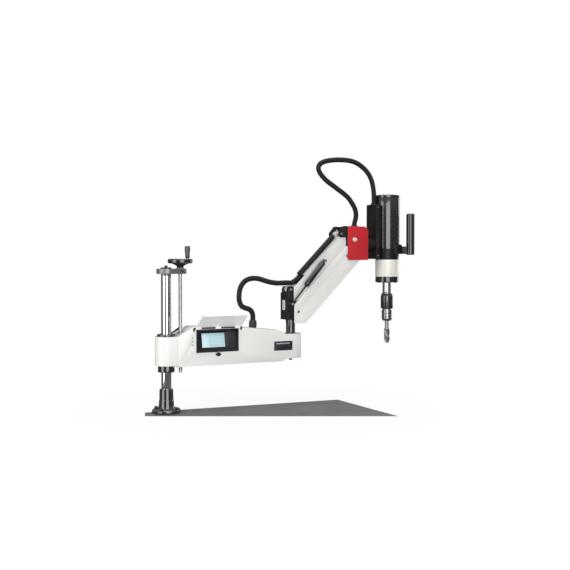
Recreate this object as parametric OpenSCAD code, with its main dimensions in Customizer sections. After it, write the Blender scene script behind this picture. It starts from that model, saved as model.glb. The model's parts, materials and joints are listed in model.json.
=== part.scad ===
// Arm tapping machine: a column with a hand-cranked carriage, a control arm
// that swings about the column, and a parallelogram arm that carries a
// servo-driven spindle with a quick-change tap chuck.
// Millimetres. Origin at the middle of the base flange's underside, +Z up,
// +X along both arms as they stand in line.

/* [Column and base] */
// Diameter of the chromed column
column_d = 40; // [36:1:44]
// Diameter of the base flange
base_d = 115; // [112:1:130]
// Thickness of the base flange
base_t = 15; // [12:1:20]
// Height of the base socket's top
socket_top = 95; // [85:1:110]
// Height of the shoulder that carries the yoke
yoke_z = 556; // [540:1:580]
// Thickness of the yoke plate
yoke_t = 21; // [18:1:26]
// Distance from the column to the lead screw
screw_x = 60; // [58:1:64]
// Diameter of the lead screw
screw_d = 16; // [14:1:18]
// Diameter of the handwheel
wheel_d = 100; // [90:1:110]

/* [Carriage and control arm] */
// Underside of the carriage
carriage_z = 190; // [185:1:200]
// Height of the carriage
carriage_h = 116; // [110:1:120]
// Outer radius of the carriage round the column
carriage_r = 45; // [42:1:48]
// Width of the control box
box_w = 90; // [86:1:96]
// Underside of the control box
box_z = 185; // [180:1:190]
// Height of the box at its tallest point
box_h = 159; // [156:1:164]
// Sheet thickness of the control box
box_wall = 4; // [3:0.5:5]
// Distance from the column to the post
post_x = 561; // [555:1:570]
// Diameter of the post
post_d = 40; // [36:1:42]
// Radius of the boss that holds the post
boss_r = 45; // [43:1:45]
// Top of the boss
boss_top = 299; // [296:1:304]

/* [Parallelogram arm] */
// Distance between the pivots of each link
link_l = 341; // [325:1:360]
// Elevation of the links as they stand
rest_angle = 44.8; // [42:0.1:47]
// Rear upper pivot, along the arms
pivot_x = 548; // [546:1:550]
// Rear upper pivot, height
pivot_z = 487.5; // [485:0.5:490]
// Lower pivots lie this far outboard of the upper ones
pivot_dx = 30; // [28:1:32]
// Lower pivots lie this far below the upper ones
pivot_dz = 95; // [92:1:98]
// Sheet thickness of the two link channels
link_wall = 2.5; // [2:0.5:2.5]
// Diameter of the link pins
pin_d = 12; // [10:1:14]

/* [Head] */
// Distance from the front pivots to the spindle
spindle_dx = 266; // [260:1:275]
// Diameter of the motor cover
motor_d = 116; // [110:1:120]
// Top of the motor cap
motor_top = 908; // [890:1:920]
// Top of the tapered shoulder below the cover
shoulder_top = 665; // [660:1:670]
// Diameter of the cream and black rings
ring_d = 106; // [100:1:108]
// Diameter of the spindle nose
nose_d = 40; // [36:1:44]
// Distance from the spindle to the handle grip
handle_r = 106; // [104:1:115]
// Direction of the handle seen from above
handle_angle = -30; // [-40:1:-20]

/* [Hidden] */
$fn = 48;

run = 0.05;          // radial clearance of a running fit
gap = 0.3;           // clearance between faces of two bodies
seat = 0.1;          // clearance between seated pieces
eps = 1;             // how far a cut runs past a face

hose_r = 11.25;      // conduits: crest of the ribs
hose_root_r = 10.2;  // between the ribs
hose_bore_r = 8.2;

column_r = column_d / 2;
post_r = post_d / 2;
screw_r = screw_d / 2;
yoke_top = yoke_z + yoke_t;
carriage_top = carriage_z + carriage_h;
half_w = box_w / 2;
box_x = 36;          // seam between the carriage and the control box
box_end = 516;       // where the box meets the boss
box_top = box_z + box_h;
boss_z = box_z + 10;

// pivots of the parallelogram at rest: rear upper and lower, front upper and lower
a1 = [pivot_x, pivot_z];
a2 = a1 + [pivot_dx, -pivot_dz];
reach = link_l * [cos(rest_angle), sin(rest_angle)];
b1 = a1 + reach;
b2 = a2 + reach;
pin_r = pin_d / 2;
block_y = 34;        // half width of the swivel block and of the head bracket's core
inner_y = 37.5;      // half width of the inner link channel
outer_y = 42;        // half width of the outer link channel
ear_y = 44;          // half width over the head bracket's ears

spindle_x = b1[0] + spindle_dx;
motor_r = motor_d / 2;
ring_r = ring_d / 2;
roll_z = 688;        // height of the head's roll axis
plate_x = spindle_x - motor_r - 27;

// ---------------------------------------------------------------- shared forms

// a revolved solid about a vertical axis from [radius, height] points
module turned(points, x = 0, y = 0) {
    translate([x, y, 0]) rotate_extrude() polygon(points);
}

// a drilled round bar or washer standing on z
module ring(r_out, r_in, z0, z1, x = 0, y = 0) {
    translate([x, y, z0]) difference() {
        cylinder(r = r_out, h = z1 - z0);
        if (r_in > 0) translate([0, 0, -eps]) cylinder(r = r_in, h = z1 - z0 + 2 * eps);
    }
}

// a side profile in X and Z made into a slab between two Y faces
module slab(y0, y1) {
    translate([0, y1, 0]) rotate([90, 0, 0]) linear_extrude(height = y1 - y0) children();
}

// a round bar along Y
module bar_y(r, y0, y1, at) {
    translate([at[0], y0, at[1]]) rotate([-90, 0, 0]) cylinder(r = r, h = y1 - y0);
}

// children drawn along a link: X runs from the rear pivot, Z square to it
module on_link(from) {
    translate([from[0], 0, from[1]]) rotate([0, -rest_angle, 0]) children();
}

// the outline of two circles and their tangents
module strap(r0, r1, length) {
    tilt = asin((r0 - r1) / length);
    circle(r = r0);
    translate([length, 0]) circle(r = r1);
    polygon([
        r0 * [sin(tilt), cos(tilt)], [length, 0] + r1 * [sin(tilt), cos(tilt)],
        [length, 0] + r1 * [sin(tilt), -cos(tilt)], r0 * [sin(tilt), -cos(tilt)]
    ]);
}

// ---------------------------------------------------------------- column and base

base_bolts = 4;          // mounting holes in the flange
base_hole_r = 4.5;       // clearance for an 8 mm bolt
base_pcd = 92;           // circle of the mounting holes
flange_edge = 4;         // chamfer on the flange's rim
flare_r = 36;            // foot of the socket's flare
collar_r = 28;           // socket's top
flare_top = 52;          // where the flare ends

module base_flange() color("#1c1c1f") difference() {
    turned([
        [0, 0], [base_d / 2, 0], [base_d / 2, base_t - flange_edge],
        [base_d / 2 - flange_edge, base_t], [flare_r, base_t + 1],
        [collar_r + 3, base_t + 12], [collar_r + 1, flare_top],
        [collar_r, flare_top + 2], [collar_r - 0.5, socket_top - 2],
        [collar_r - 2.5, socket_top], [0, socket_top]
    ]);
    translate([0, 0, base_t - 7]) cylinder(r = column_r + run, h = socket_top);
    for (i = [0:base_bolts - 1]) rotate(45 + i * 360 / base_bolts)
        translate([base_pcd / 2, 0, -eps]) cylinder(r = base_hole_r, h = base_t + 2 * eps);
}

column_bore_r = 14;      // inside of the column
journal_r = column_r - 2; // step that the yoke turns on

module column_tube() color("#d7d9dc") difference() {
    turned([
        [0, base_t - 7 + seat], [column_r, base_t - 7 + seat], [column_r, yoke_z],
        [journal_r, yoke_z], [journal_r, yoke_top + gap], [0, yoke_top + gap]
    ]);
    translate([0, 0, -eps]) cylinder(r = column_bore_r, h = yoke_z - 40);
}

cap_r = column_r + 2;    // washer that keeps the yoke on the column
cap_t = 5;               // its thickness

module column_cap() color("#3a3b3e") union() {
    turned([
        [0, yoke_top + gap], [cap_r, yoke_top + gap], [cap_r, yoke_top + cap_t - 1],
        [cap_r - 2, yoke_top + gap + cap_t], [0, yoke_top + gap + cap_t]
    ]);
    translate([0, 0, yoke_top + cap_t]) cylinder(r = 6.9, h = 8, $fn = 6);
}

// ---------------------------------------------------------------- yoke and lead screw

yoke_r = 38;             // yoke round the column
yoke_end_r = 25;         // yoke round the lead screw
bearing_r = 13;          // bearing bush in the yoke
stub_r = 6;              // reduced top end of the lead screw
hub_z = yoke_top + 3 + gap; // underside of the handwheel's hub

module top_yoke() color("#8b8d90") difference() {
    translate([0, 0, yoke_z + seat]) linear_extrude(height = yoke_t - seat)
        strap(yoke_r, yoke_end_r, screw_x);
    translate([0, 0, yoke_z - eps]) cylinder(r = journal_r + run, h = yoke_t + 2 * eps);
    translate([screw_x, 0, yoke_z - eps]) cylinder(r = bearing_r + run, h = yoke_t + 2 * eps);
    for (side = [-1, 1]) translate([screw_x, side * 50, yoke_z + yoke_t / 2])
        rotate([side * 90, 0, 0]) cylinder(r = 2.5, h = 34);
}

module screw_bearing() color("#b08d4f") difference() {
    union() {
        ring(bearing_r, 0, yoke_z + seat, yoke_top, screw_x);
        ring(bearing_r + 4, 0, yoke_top, yoke_top + 3, screw_x);
    }
    translate([screw_x, 0, yoke_z - eps]) cylinder(r = stub_r + run, h = yoke_t + 6);
}

screw_z = 158;           // lower end of the lead screw
hub_h = 24;              // height of the handwheel's hub

module lead_screw() color("#c9cbce") turned([
    [0, screw_z], [screw_r - 1.5, screw_z], [screw_r, screw_z + 1.5],
    [screw_r, yoke_z - gap], [stub_r, yoke_z - gap], [stub_r, hub_z + hub_h - 1],
    [0, hub_z + hub_h - 1]
], screw_x);

rim_z = 598;             // underside of the handwheel's rim
rim_h = 19;              // height of the rim
wheel_r = wheel_d / 2;
pin_seat_r = 3;          // tapped hole for the crank pin
crank_r = wheel_r - 16;  // crank grip from the wheel's middle
crank_angle = 10;        // where the grip stands

module handwheel() color("#1a1a1c") difference() {
    turned([
        [0, hub_z], [13, hub_z], [15, hub_z + 8], [wheel_r - 12, rim_z + 2],
        [wheel_r - 4, rim_z], [wheel_r, rim_z + 4], [wheel_r, rim_z + rim_h - 4],
        [wheel_r - 3.5, rim_z + rim_h], [wheel_r - 9, rim_z + rim_h],
        [wheel_r - 12, rim_z + rim_h - 5], [wheel_r - 27, rim_z + 8],
        [14, rim_z + 7], [12, hub_z + hub_h + 4], [0, hub_z + hub_h + 4]
    ], screw_x);
    translate([screw_x, 0, hub_z - eps]) cylinder(r = stub_r + run, h = hub_h + eps);
    translate([screw_x, 0, 0]) rotate(crank_angle)
        translate([crank_r, 0, rim_z + 1]) cylinder(r = pin_seat_r + run, h = rim_h);
}

grip_z = 619;            // underside of the crank grip
grip_h = 50;             // its length
grip_pin_r = 4;          // shouldered part of the crank pin

module at_crank() {
    translate([screw_x, 0, 0]) rotate(crank_angle) translate([crank_r, 0, 0]) children();
}

// foot in the wheel, collar under the grip and head that keeps the grip on
module crank_pin() color("#9a9ca0") at_crank() turned([
    [0, rim_z + 2], [pin_seat_r, rim_z + 2], [pin_seat_r, grip_z - 4],
    [6, grip_z - 4], [6, grip_z - gap], [grip_pin_r, grip_z - gap],
    [grip_pin_r, grip_z + grip_h - 6 + gap], [6, grip_z + grip_h - 6 + gap],
    [6, grip_z + grip_h - 2], [0, grip_z + grip_h - 2]
]);

module crank_grip() color("#141416") at_crank() difference() {
    turned([
        [0, grip_z], [8, grip_z], [9, grip_z + 3], [9.5, grip_z + 16],
        [11, grip_z + 34], [11, grip_z + grip_h - 4], [9, grip_z + grip_h - 0.5],
        [0, grip_z + grip_h]
    ]);
    translate([0, 0, grip_z - eps]) cylinder(r = grip_pin_r + run, h = grip_h);
    translate([0, 0, grip_z + grip_h - 6]) cylinder(r = 6.4, h = 12);
}

// ---------------------------------------------------------------- carriage

bush_r = 26;             // bushes pressed in the carriage
lug_y = 20;              // half width of the lug that holds the lift nut
lug_z = carriage_top - 50;
lug_top = carriage_top - 11;
nut_r = 13;              // body of the lift nut
lever_at = [24, 26];     // clamp screw of the lock lever

module column_carriage() color("#e9e9e6") difference() {
    union() {
        intersection() {
            translate([0, 0, carriage_z]) cylinder(r = carriage_r, h = carriage_h);
            translate([-2 * carriage_r, -2 * carriage_r, carriage_z])
                cube([2 * carriage_r + box_x - seat, 4 * carriage_r, carriage_h]);
        }
        translate([0, -carriage_r, carriage_z])
            cube([box_x - seat, 2 * carriage_r, carriage_h]);
        translate([box_x - 2 * eps, -lug_y, lug_z])
            cube([screw_x - box_x + lug_y, 2 * lug_y, lug_top - lug_z]);
    }
    translate([0, 0, carriage_z - eps]) cylinder(r = bush_r + run, h = carriage_h + 2 * eps);
    translate([screw_x, 0, lug_z - eps]) cylinder(r = nut_r + run, h = lug_top - lug_z + 2 * eps);
    translate([lever_at[0], lever_at[1], carriage_top - 12]) cylinder(r = 4 + run, h = 20);
}

flange_t = 8;            // upper bush's flange
collar_h = 27;           // ring under the carriage

module upper_bush() color("#1b1b1d") difference() {
    union() {
        ring(bush_r, 0, carriage_top - 50, carriage_top, 0);
        turned([
            [0, carriage_top], [37, carriage_top], [37, carriage_top + flange_t - 1.5],
            [35.5, carriage_top + flange_t], [0, carriage_top + flange_t]
        ]);
    }
    translate([0, 0, carriage_top - 60]) cylinder(r = column_r + run, h = 80);
    translate([lever_at[0], lever_at[1], carriage_top - eps]) cylinder(r = 14, h = 20);
}

module lower_collar() color("#1b1b1d") difference() {
    union() {
        ring(bush_r, 0, carriage_z, carriage_z + 45, 0);
        turned([
            [0, carriage_z - collar_h], [32, carriage_z - collar_h],
            [33.5, carriage_z - collar_h + 1.5], [33.5, carriage_z], [0, carriage_z]
        ]);
    }
    translate([0, 0, carriage_z - 60]) cylinder(r = column_r + run, h = 120);
    for (a = [-60, -150]) rotate(a) translate([22, 0, carriage_z - collar_h / 2])
        rotate([0, 90, 0]) cylinder(r = 3, h = 20);
}

module lift_nut() color("#b08d4f") difference() {
    union() {
        ring(nut_r, 0, lug_z, lug_top, screw_x);
        ring(nut_r + 5, 0, lug_z - 6, lug_z, screw_x);
    }
    translate([screw_x, 0, lug_z - 10]) cylinder(r = screw_r + run, h = 80);
}

lever_l = 58;            // length of the lock lever
lever_tilt = 31;         // rise of the lever over the box's slope

// clamp screw with a cranked black lever and its ball end
module lock_lever() color("#161618") translate([lever_at[0], lever_at[1], 0]) union() {
    ring(4, 0, carriage_top - 11, carriage_top + 2);
    turned([
        [0, carriage_top + gap], [9, carriage_top + gap], [9, carriage_top + 6],
        [6.5, carriage_top + 12], [0, carriage_top + 13]
    ]);
    translate([0, 0, carriage_top + 5]) rotate([0, 90 - lever_tilt, 0])
        rotate_extrude() polygon([[0, 0], [4, 0], [5.5, lever_l - 8], [3.5, lever_l], [0, lever_l]]);
}

// ---------------------------------------------------------------- control box

slope_x = 100;           // where the sloping shoulder reaches the box's top
mid_x = 330;             // bend in the box's top
tail_x = 490;            // where the top drops to the boss
mid_z = box_top - 10;
tail_z = box_top - 28;
cover_t = 2;             // rear cover sheet

module box_side(w) {
    // w draws the profile in by a wall's thickness
    polygon([
        [box_x + w, box_z + w], [box_x + w, carriage_top - 2 - w * 0.4],
        [slope_x + w * 0.3, box_top - w], [mid_x, mid_z - w],
        [tail_x - w * 0.2, tail_z - w], [box_end - w, boss_top - w * 0.4],
        [box_end - w, boss_z + w * 0.5], [box_end - 16 - w * 0.3, box_z + w]
    ]);
}

window_x0 = 114;         // screen window in the front wall
window_x1 = 294;
window_z0 = 241;
window_z1 = 329;
gland_x = 382;           // hose gland on the box's top
gland_r = 18;            // lower hexagon of the gland
gland_bore_r = hose_r + 0.3; // opening for the conduit
lamp_x = 95;             // column of indicator lamps
lamp_z = [300, 285, 270];
lamp_r = 4;
latch_at = [206, 229];   // knob of the lid's latch

function top_at(x) = mid_z + (x - mid_x) * (tail_z - mid_z) / (tail_x - mid_x);

boss_screws = [box_x + 16, mid_x + 40, box_end - 22]; // screw bosses of the rear cover

module control_box() color("#ecece9") {
    difference() {
        union() {
            slab(-half_w, half_w) box_side(0);
            translate([post_x, 0, boss_z]) cylinder(r = boss_r, h = boss_top - boss_z);
            translate([box_end - eps, -boss_r, boss_z])
                cube([post_x - box_end + eps, 2 * boss_r, boss_top - boss_z]);
        }
        slab(-half_w + box_wall, half_w - cover_t - seat) box_side(box_wall);
        slab(half_w - cover_t - seat, half_w + eps) box_side(box_wall / 2);
        // passages for the lead screw, its lug and the post
        translate([screw_x, 0, box_z - eps]) cylinder(r = screw_r + 3, h = box_h + 20);
        translate([box_x - eps, -lug_y - 2, lug_z - 12])
            cube([box_wall + 2, 2 * lug_y + 4, lug_top - lug_z + 14]);
        translate([post_x, 0, boss_z - eps]) cylinder(r = post_r + run, h = boss_top);
        translate([window_x0, -half_w - eps, window_z0])
            cube([window_x1 - window_x0, box_wall + 2 * eps, window_z1 - window_z0]);
        translate([gland_x, 0, mid_z - 40]) cylinder(r = gland_bore_r + 2, h = 80);
        for (z = lamp_z) translate([lamp_x, -half_w - eps, z]) rotate([-90, 0, 0])
            cylinder(r = lamp_r - 1, h = box_wall + 2 * eps);
        translate([latch_at[0], -half_w - eps, latch_at[1]]) rotate([-90, 0, 0])
            cylinder(r = 3 + run, h = box_wall + 2 * eps);
    }
    for (x = boss_screws) difference() {
        translate([x - 6, half_w - 16, box_z + box_wall - eps])
            cube([12, 14 - seat, 14]);
        translate([x, half_w, box_z + box_wall + 7]) rotate([90, 0, 0]) cylinder(r = 1.6, h = 12);
    }
}

module box_back_cover() color("#e4e4e1") slab(half_w - cover_t, half_w)
    box_side(box_wall / 2 + seat);

bezel_flange = 3;        // rim of the bezel over the window's edge
bezel_depth = 30;        // recess behind the window
panel_tilt = 12;         // lean of the operating panel
lcd_w = 100;             // glass of the screen
lcd_h = 58;
lcd_t = 2;
bezel_w = window_x1 - window_x0 - 2 * seat;
bezel_h = window_z1 - window_z0 - 2 * seat;
panel_t = 3;             // wall behind the glass

// from the middle of the window's outer face, leaning with the panel
module on_panel() {
    translate([(window_x0 + window_x1) / 2, -half_w + 12, (window_z0 + window_z1) / 2])
        rotate([-panel_tilt, 0, 0]) children();
}

module hmi_bezel() color("#1a1a1e") difference() {
    union() {
        translate([window_x0 - bezel_flange, -half_w - 1.5, window_z0 - bezel_flange])
            cube([bezel_w + 2 * bezel_flange, 1.5, bezel_h + 2 * bezel_flange]);
        translate([window_x0 + seat, -half_w - 1.5, window_z0 + seat])
            cube([bezel_w, bezel_depth, bezel_h]);
    }
    difference() {
        translate([window_x0 + 4, -half_w - 3, window_z0 + 4])
            cube([bezel_w - 8, bezel_depth, bezel_h - 8]);
        on_panel() translate([-bezel_w, 0, -bezel_h]) cube([2 * bezel_w, bezel_depth * 2, 2 * bezel_h]);
    }
    intersection() {
        translate([window_x0 + 4, -half_w - 3, window_z0 + 4])
            cube([bezel_w - 8, bezel_depth + 10, bezel_h - 8]);
        on_panel() translate([-bezel_w, lcd_t + panel_t, -bezel_h])
            cube([2 * bezel_w, bezel_depth * 2, 2 * bezel_h]);
    }
    on_panel() translate([lcd_shift - lcd_w / 2 - seat, -eps, 1 - lcd_h / 2 - seat])
        cube([lcd_w + 2 * seat, lcd_t + eps, lcd_h + 2 * seat]);
}

lcd_shift = -14;         // the glass sits left of the window's middle

module lcd_screen() color("#a9d6e2") on_panel()
    translate([lcd_shift - lcd_w / 2, seat, 1 - lcd_h / 2]) cube([lcd_w, lcd_t - seat, lcd_h]);

hinge_at = [-half_w - 5, window_z1 + 8]; // lid hinge axis: Y and Z
hinge_r = 2.5;
lid_x0 = window_x0 - 8;
lid_x1 = window_x1 + 8;
lid_l = 96;              // depth of the lid from its hinge
lid_t = 3;
lid_open = 35;           // rise of the lid as it stands open

// rod across the box's front with a foot at each end
module lid_hinge_rod() color("#1a1a1c") union() {
    translate([lid_x0 - 8, hinge_at[0], hinge_at[1]]) rotate([0, 90, 0])
        cylinder(r = hinge_r, h = lid_x1 - lid_x0 + 16);
    for (x = [lid_x0 - 8, lid_x1 + 2]) difference() {
        translate([x, hinge_at[0] - 1, hinge_at[1] - 12]) cube([6, 6 - seat, 13]);
        translate([x - eps, hinge_at[0] - 3, hinge_at[1] - 13]) cube([8, 5, 7]);
    }
}

// thin tray lid: sheet, turned-down sides and three hinge knuckles
module window_lid() color("#eeeeec") translate([0, hinge_at[0], hinge_at[1]])
    rotate([-lid_open, 0, 0]) difference() {
        union() {
            translate([lid_x0, -lid_l, 3.2]) cube([lid_x1 - lid_x0, lid_l, lid_t]);
            for (x = [lid_x0, lid_x1 - 2]) translate([x, -lid_l, -3])
                cube([2, lid_l - 8, 8]);
            translate([lid_x0, -lid_l, -3]) cube([lid_x1 - lid_x0, 2, 8]);
            for (x = [lid_x0 + 1, (lid_x0 + lid_x1) / 2 - 12, lid_x1 - 25])
                translate([x, 0, 0]) rotate([0, 90, 0]) cylinder(r = hinge_r + 2.4, h = 24);
        }
        translate([lid_x0 - eps, 0, 0]) rotate([0, 90, 0])
            cylinder(r = hinge_r + run, h = lid_x1 - lid_x0 + 2 * eps);
    }

// round knob with a tongue, on a stem through the box's front
module lid_latch() color("#151517") translate([latch_at[0], -half_w, latch_at[1]]) rotate([90, 0, 0]) {
    cylinder(r = 8, h = 6);
    translate([-11, -3, 2]) cube([22, 6, 4]);
    translate([0, 0, -box_wall - 3]) cylinder(r = 3, h = box_wall + 4);
    translate([0, 0, -box_wall - 4]) cylinder(r = 5, h = 4 - seat);
}

module indicator_lamps() color("#8f9295") for (z = lamp_z) translate([lamp_x, -half_w, z])
    rotate([90, 0, 0]) {
        cylinder(r = lamp_r, h = 1.5);
        translate([0, 0, -box_wall - 4]) cylinder(r = lamp_r - 1 - run, h = box_wall + 5);
    }

gland_z = top_at(gland_x);

// two-tier gland nut with a threaded foot through the box's top
module hose_gland() color("#3d3f42") difference() {
    union() {
        translate([gland_x, 0, gland_z - 12]) cylinder(r = gland_bore_r + 2 - run, h = 22);
        translate([gland_x, 0, gland_z + 2.6]) cylinder(r = gland_r, h = 12, $fn = 6);
        turned([
            [0, gland_z + 14], [15.5, gland_z + 14], [16.5, gland_z + 17],
            [16.5, gland_z + 24], [13, gland_z + 32], [0, gland_z + 32]
        ], gland_x);
    }
    translate([gland_x, 0, gland_z - 20]) cylinder(r = gland_bore_r, h = 90);
}

// drive electronics on the floor of the box, with cooling fins
module servo_drive() color("#5a5d60") union() {
    translate([345, -30, box_z + box_wall]) cube([110, 46, 90]);
    for (i = [0:6]) translate([350 + i * 15, 16 - eps, box_z + box_wall + 4]) cube([3, 12, 82]);
}

// ---------------------------------------------------------------- post and swivel block

block_x0 = post_x - 31;  // swivel block round the post
block_x1 = post_x + 31;
block_z = 358;           // underside of the swivel block
block_top = pivot_z - 13.5;
post_top = block_top - 12;

module swivel_post() color("#161618") turned([
    [0, boss_z], [post_r, boss_z], [post_r, post_top - 1], [post_r - 1, post_top], [0, post_top]
], post_x);

// bolt and washer that hold the post in the boss
module post_bolt() color("#3b3c3f") union() {
    ring(15, 0, boss_z - 3, boss_z - seat, post_x);
    translate([post_x, 0, boss_z - 11]) cylinder(r = 8, h = 8, $fn = 6);
}

bush_wall = 3;           // swivel bushes in the block
bush_h = 24;
ear_r = 14;              // ears round the rear upper pivot
ear_in = 15;             // inside faces of those ears

module swivel_block() color("#17171a") difference() {
    union() {
        slab(-block_y, block_y) polygon([
            [block_x0, block_z], [block_x1, block_z], [block_x1, block_top - 44],
            [a1[0] + 18, block_top], [block_x0, block_top]
        ]);
        for (side = [0, 1]) mirror([0, side, 0]) slab(ear_in, block_y - 3) {
            translate(a1) circle(r = ear_r);
            translate([a1[0] - ear_r, block_top - eps]) square([2 * ear_r, a1[1] - block_top + eps]);
        }
    }
    translate([post_x, 0, block_z - eps])
        cylinder(r = post_r + bush_wall + run, h = post_top - block_z + 3);
    bar_y(pin_r, -block_y - eps, block_y + eps, a1);
    for (side = [0, 1]) mirror([0, side, 0])
        bar_y(pin_r, post_r + bush_wall + 1 - 6, block_y + eps, a2);
    bar_y(4, -block_y - eps, -block_y + 9, foot_at);
}

module swivel_bushes() color("#b08d4f") for (z = [block_z, post_top - bush_h])
    ring(post_r + bush_wall, post_r + run, z, z + bush_h, post_x);

// cross pin through the tongue and two stub pins with their shoulders
module rear_link_pins() color("#bfc1c4") {
    bar_y(pin_r - run, -block_y, block_y, a1);
    for (side = [0, 1]) mirror([0, side, 0]) union() {
        bar_y(pin_r - run, 19, outer_y, a2);
        bar_y(pin_r + 3, block_y + seat, outer_y - link_wall - gap, a2);
    }
}

// ---------------------------------------------------------------- links

link_start = post_x - 3; // both channels are cut upright here
inner_end = b1[0] + 25;  // and the inner one here at the far end
inner_depth = 64;
outer_up = 35.5;         // outer channel above and below its own pivots
outer_down = 60;
tail_floor = 343;        // outer channel's flat tail

// channel open downwards, with the tongue that the upper pins pass through
module upper_link() color("#e6e6e3") difference() {
    union() {
        intersection() {
            on_link(a1) difference() {
                translate([-60, -inner_y, -inner_depth])
                    cube([link_l + 120, 2 * inner_y, inner_depth - 1]);
                translate([-70, -inner_y + link_wall, -inner_depth - eps])
                    cube([link_l + 140, 2 * (inner_y - link_wall), inner_depth - 1 - link_wall + eps]);
                translate([-70, -inner_y + link_wall, -20])
                    cube([70 + duct_s0 + 6, 2 * (inner_y - link_wall), 30]);
                translate([link_l - 18, -inner_y + link_wall, -20])
                    cube([103, 2 * (inner_y - link_wall), 30]);
            }
            translate([link_start, -50, 300]) cube([inner_end - link_start, 100, 600]);
        }
        on_link(a1) slab(-tongue_y, tongue_y) {
            circle(r = eye_at_pivot_r);
            translate([0, -tongue_low]) square([cross_s + cross_w, tongue_t]);
            translate([link_l, 0]) circle(r = eye_at_pivot_r);
            translate([link_l - 60, -tongue_low]) square([60, tongue_low - 1]);
        }
        on_link(a1) for (s = [cross_s, link_l - 48]) translate([s, -inner_y + 1, -tongue_low])
            cube([cross_w, 2 * inner_y - 2, tongue_t]);
    }
    bar_y(pin_r + run, -60, 60, a1);
    bar_y(pin_r + run, -60, 60, b1);
    on_link(a1) translate([stud_s, 0, stud_t]) rotate([90, 0, 0]) cylinder(r = 4, h = 60);
    // rear corner rounded about the pivot, so that the gas spring's stud passes it
    on_link(a1) slab(-inner_y - eps, inner_y + eps) difference() {
        translate([-90, -inner_depth - 20]) square([90 + stud_pass_s, inner_depth]);
        circle(r = stud_pass_r);
    }
}

tongue_y = 14;           // half width of the tongues that the pins pass through
tongue_low = 9;          // their underside, below the pivots
tongue_t = 4;            // thickness of the rear tongue and of the cross plates
cross_s = 20;            // rear cross plate, along the link
cross_w = 14;
eye_at_pivot_r = 12;
stud_s = 193;            // gas spring's head stud, along the upper link
stud_t = -18;

// outer channel open upwards, its web short of both pivots
module lower_link() color("#ebebe8") difference() {
    intersection() {
        on_link(a2) union() {
            for (side = [0, 1]) mirror([0, side, 0]) slab(outer_y - link_wall, outer_y) polygon([
                [-120, -outer_down], [link_l + 62, -outer_down], [link_l + 70, -20],
                [link_l + 25, outer_up], [-120, outer_up]
            ]);
            translate([30, -outer_y + 1, -outer_down]) cube([link_l - 20, 2 * outer_y - 2, link_wall]);
        }
        translate([link_start, -60, tail_floor]) cube([500, 120, 600]);
    }
    bar_y(pin_r + run, -60, 60, a2);
    bar_y(pin_r + run, -60, 60, b2);
}

duct_s0 = 84.3;          // cable duct along the upper link
duct_y = 15;
duct_top = 14;
duct_wall = 2;
duct_end_t = 3.5;        // end wall that the conduit meets
conduit_t = -5;          // conduit's place at the duct's end, square to the link

// cover for the wires on the upper link's web, closed at its lower end by a
// wall with a hole where the conduit meets it
module cable_duct() color("#1b1b1d") on_link(a1) difference() {
    union() {
        translate([duct_s0, -duct_y, -1 + seat]) cube([link_l - 22 - duct_s0, 2 * duct_y, duct_top + 1 - seat]);
        translate([duct_s0, -duct_y, conduit_t - 12]) cube([duct_end_t, 2 * duct_y, duct_top + 12 - conduit_t]);
    }
    translate([duct_s0 - eps, 0, conduit_t]) rotate([0, 90, 0]) cylinder(r = hose_bore_r, h = 6);
    translate([duct_s0 + duct_end_t, -duct_y + duct_wall, -2 * eps])
        cube([link_l, 2 * (duct_y - duct_wall), duct_top - duct_wall + 2 * eps]);
}

// ---------------------------------------------------------------- gas spring

spring_y = -57;          // plane of the gas spring
foot_at = [540, 427];    // foot stud on the swivel block
head_at = a1 + stud_s * [cos(rest_angle), sin(rest_angle)]
        + stud_t * [-sin(rest_angle), cos(rest_angle)];
spring_dir = head_at - foot_at;
spring_len = norm(spring_dir);
spring_tilt = atan2(spring_dir[1], spring_dir[0]);
tube_r = 12;             // pressure tube
tube_l = 130;
rod_r = 4;
guide_gap = 4;           // play of the rod in the tube's end
rod_l = 168;             // from the foot stud
eye_r = 7;
stud_r = 4;
stud_collar_r = 6;
stud_pass_r = norm(foot_at - a1) - stud_collar_r - 1.5; // link's corner passes inside this
stud_pass_s = stud_collar_r + 4;

module on_spring(from, turn) {
    translate([from[0], spring_y, from[1]]) rotate([0, -spring_tilt + turn, 0]) children();
}

// eye on a ball stud, its axis across the arm
module spring_eye() difference() {
    union() {
        rotate([90, 0, 0]) cylinder(r = eye_r, h = 11, center = true);
        translate([4, -3.5, -3.5]) cube([9, 7, 7]);
    }
    rotate([90, 0, 0]) cylinder(r = stud_r + run, h = 20, center = true);
}

module gas_cylinder() color("#1c1c20") on_spring(head_at, 180) difference() {
    union() {
        spring_eye();
        translate([10, 0, 0]) rotate([0, 90, 0]) rotate_extrude() polygon([
            [0, 0], [tube_r - 2, 0], [tube_r, 3], [tube_r, tube_l - 4], [tube_r - 3, tube_l],
            [0, tube_l]
        ]);
    }
    translate([16, 0, 0]) rotate([0, 90, 0]) cylinder(r = tube_r - 2, h = tube_l - 12);
    translate([16, 0, 0]) rotate([0, 90, 0]) cylinder(r = rod_r + guide_gap, h = tube_l);
}

module gas_rod() color("#2b2c30") on_spring(foot_at, 0) union() {
    spring_eye();
    translate([12, 0, 0]) rotate([0, 90, 0]) cylinder(r = rod_r, h = rod_l - 12);
}

// studs: shank in the carrier, collar and the pin that the eye turns on
module spring_stud(root_y, depth) rotate([90, 0, 0]) rotate_extrude() polygon([
    [0, -root_y - depth], [stud_r - run, -root_y - depth], [stud_r - run, -root_y + seat],
    [stud_collar_r, -root_y + seat], [stud_collar_r, -spring_y - 6], [stud_r, -spring_y - 6],
    [stud_r, -spring_y + 6], [6, -spring_y + 6], [6, -spring_y + 9], [0, -spring_y + 9]
]);

module spring_foot_stud() color("#a7a9ad") translate([foot_at[0], 0, foot_at[1]])
    spring_stud(-block_y, 8);

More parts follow.
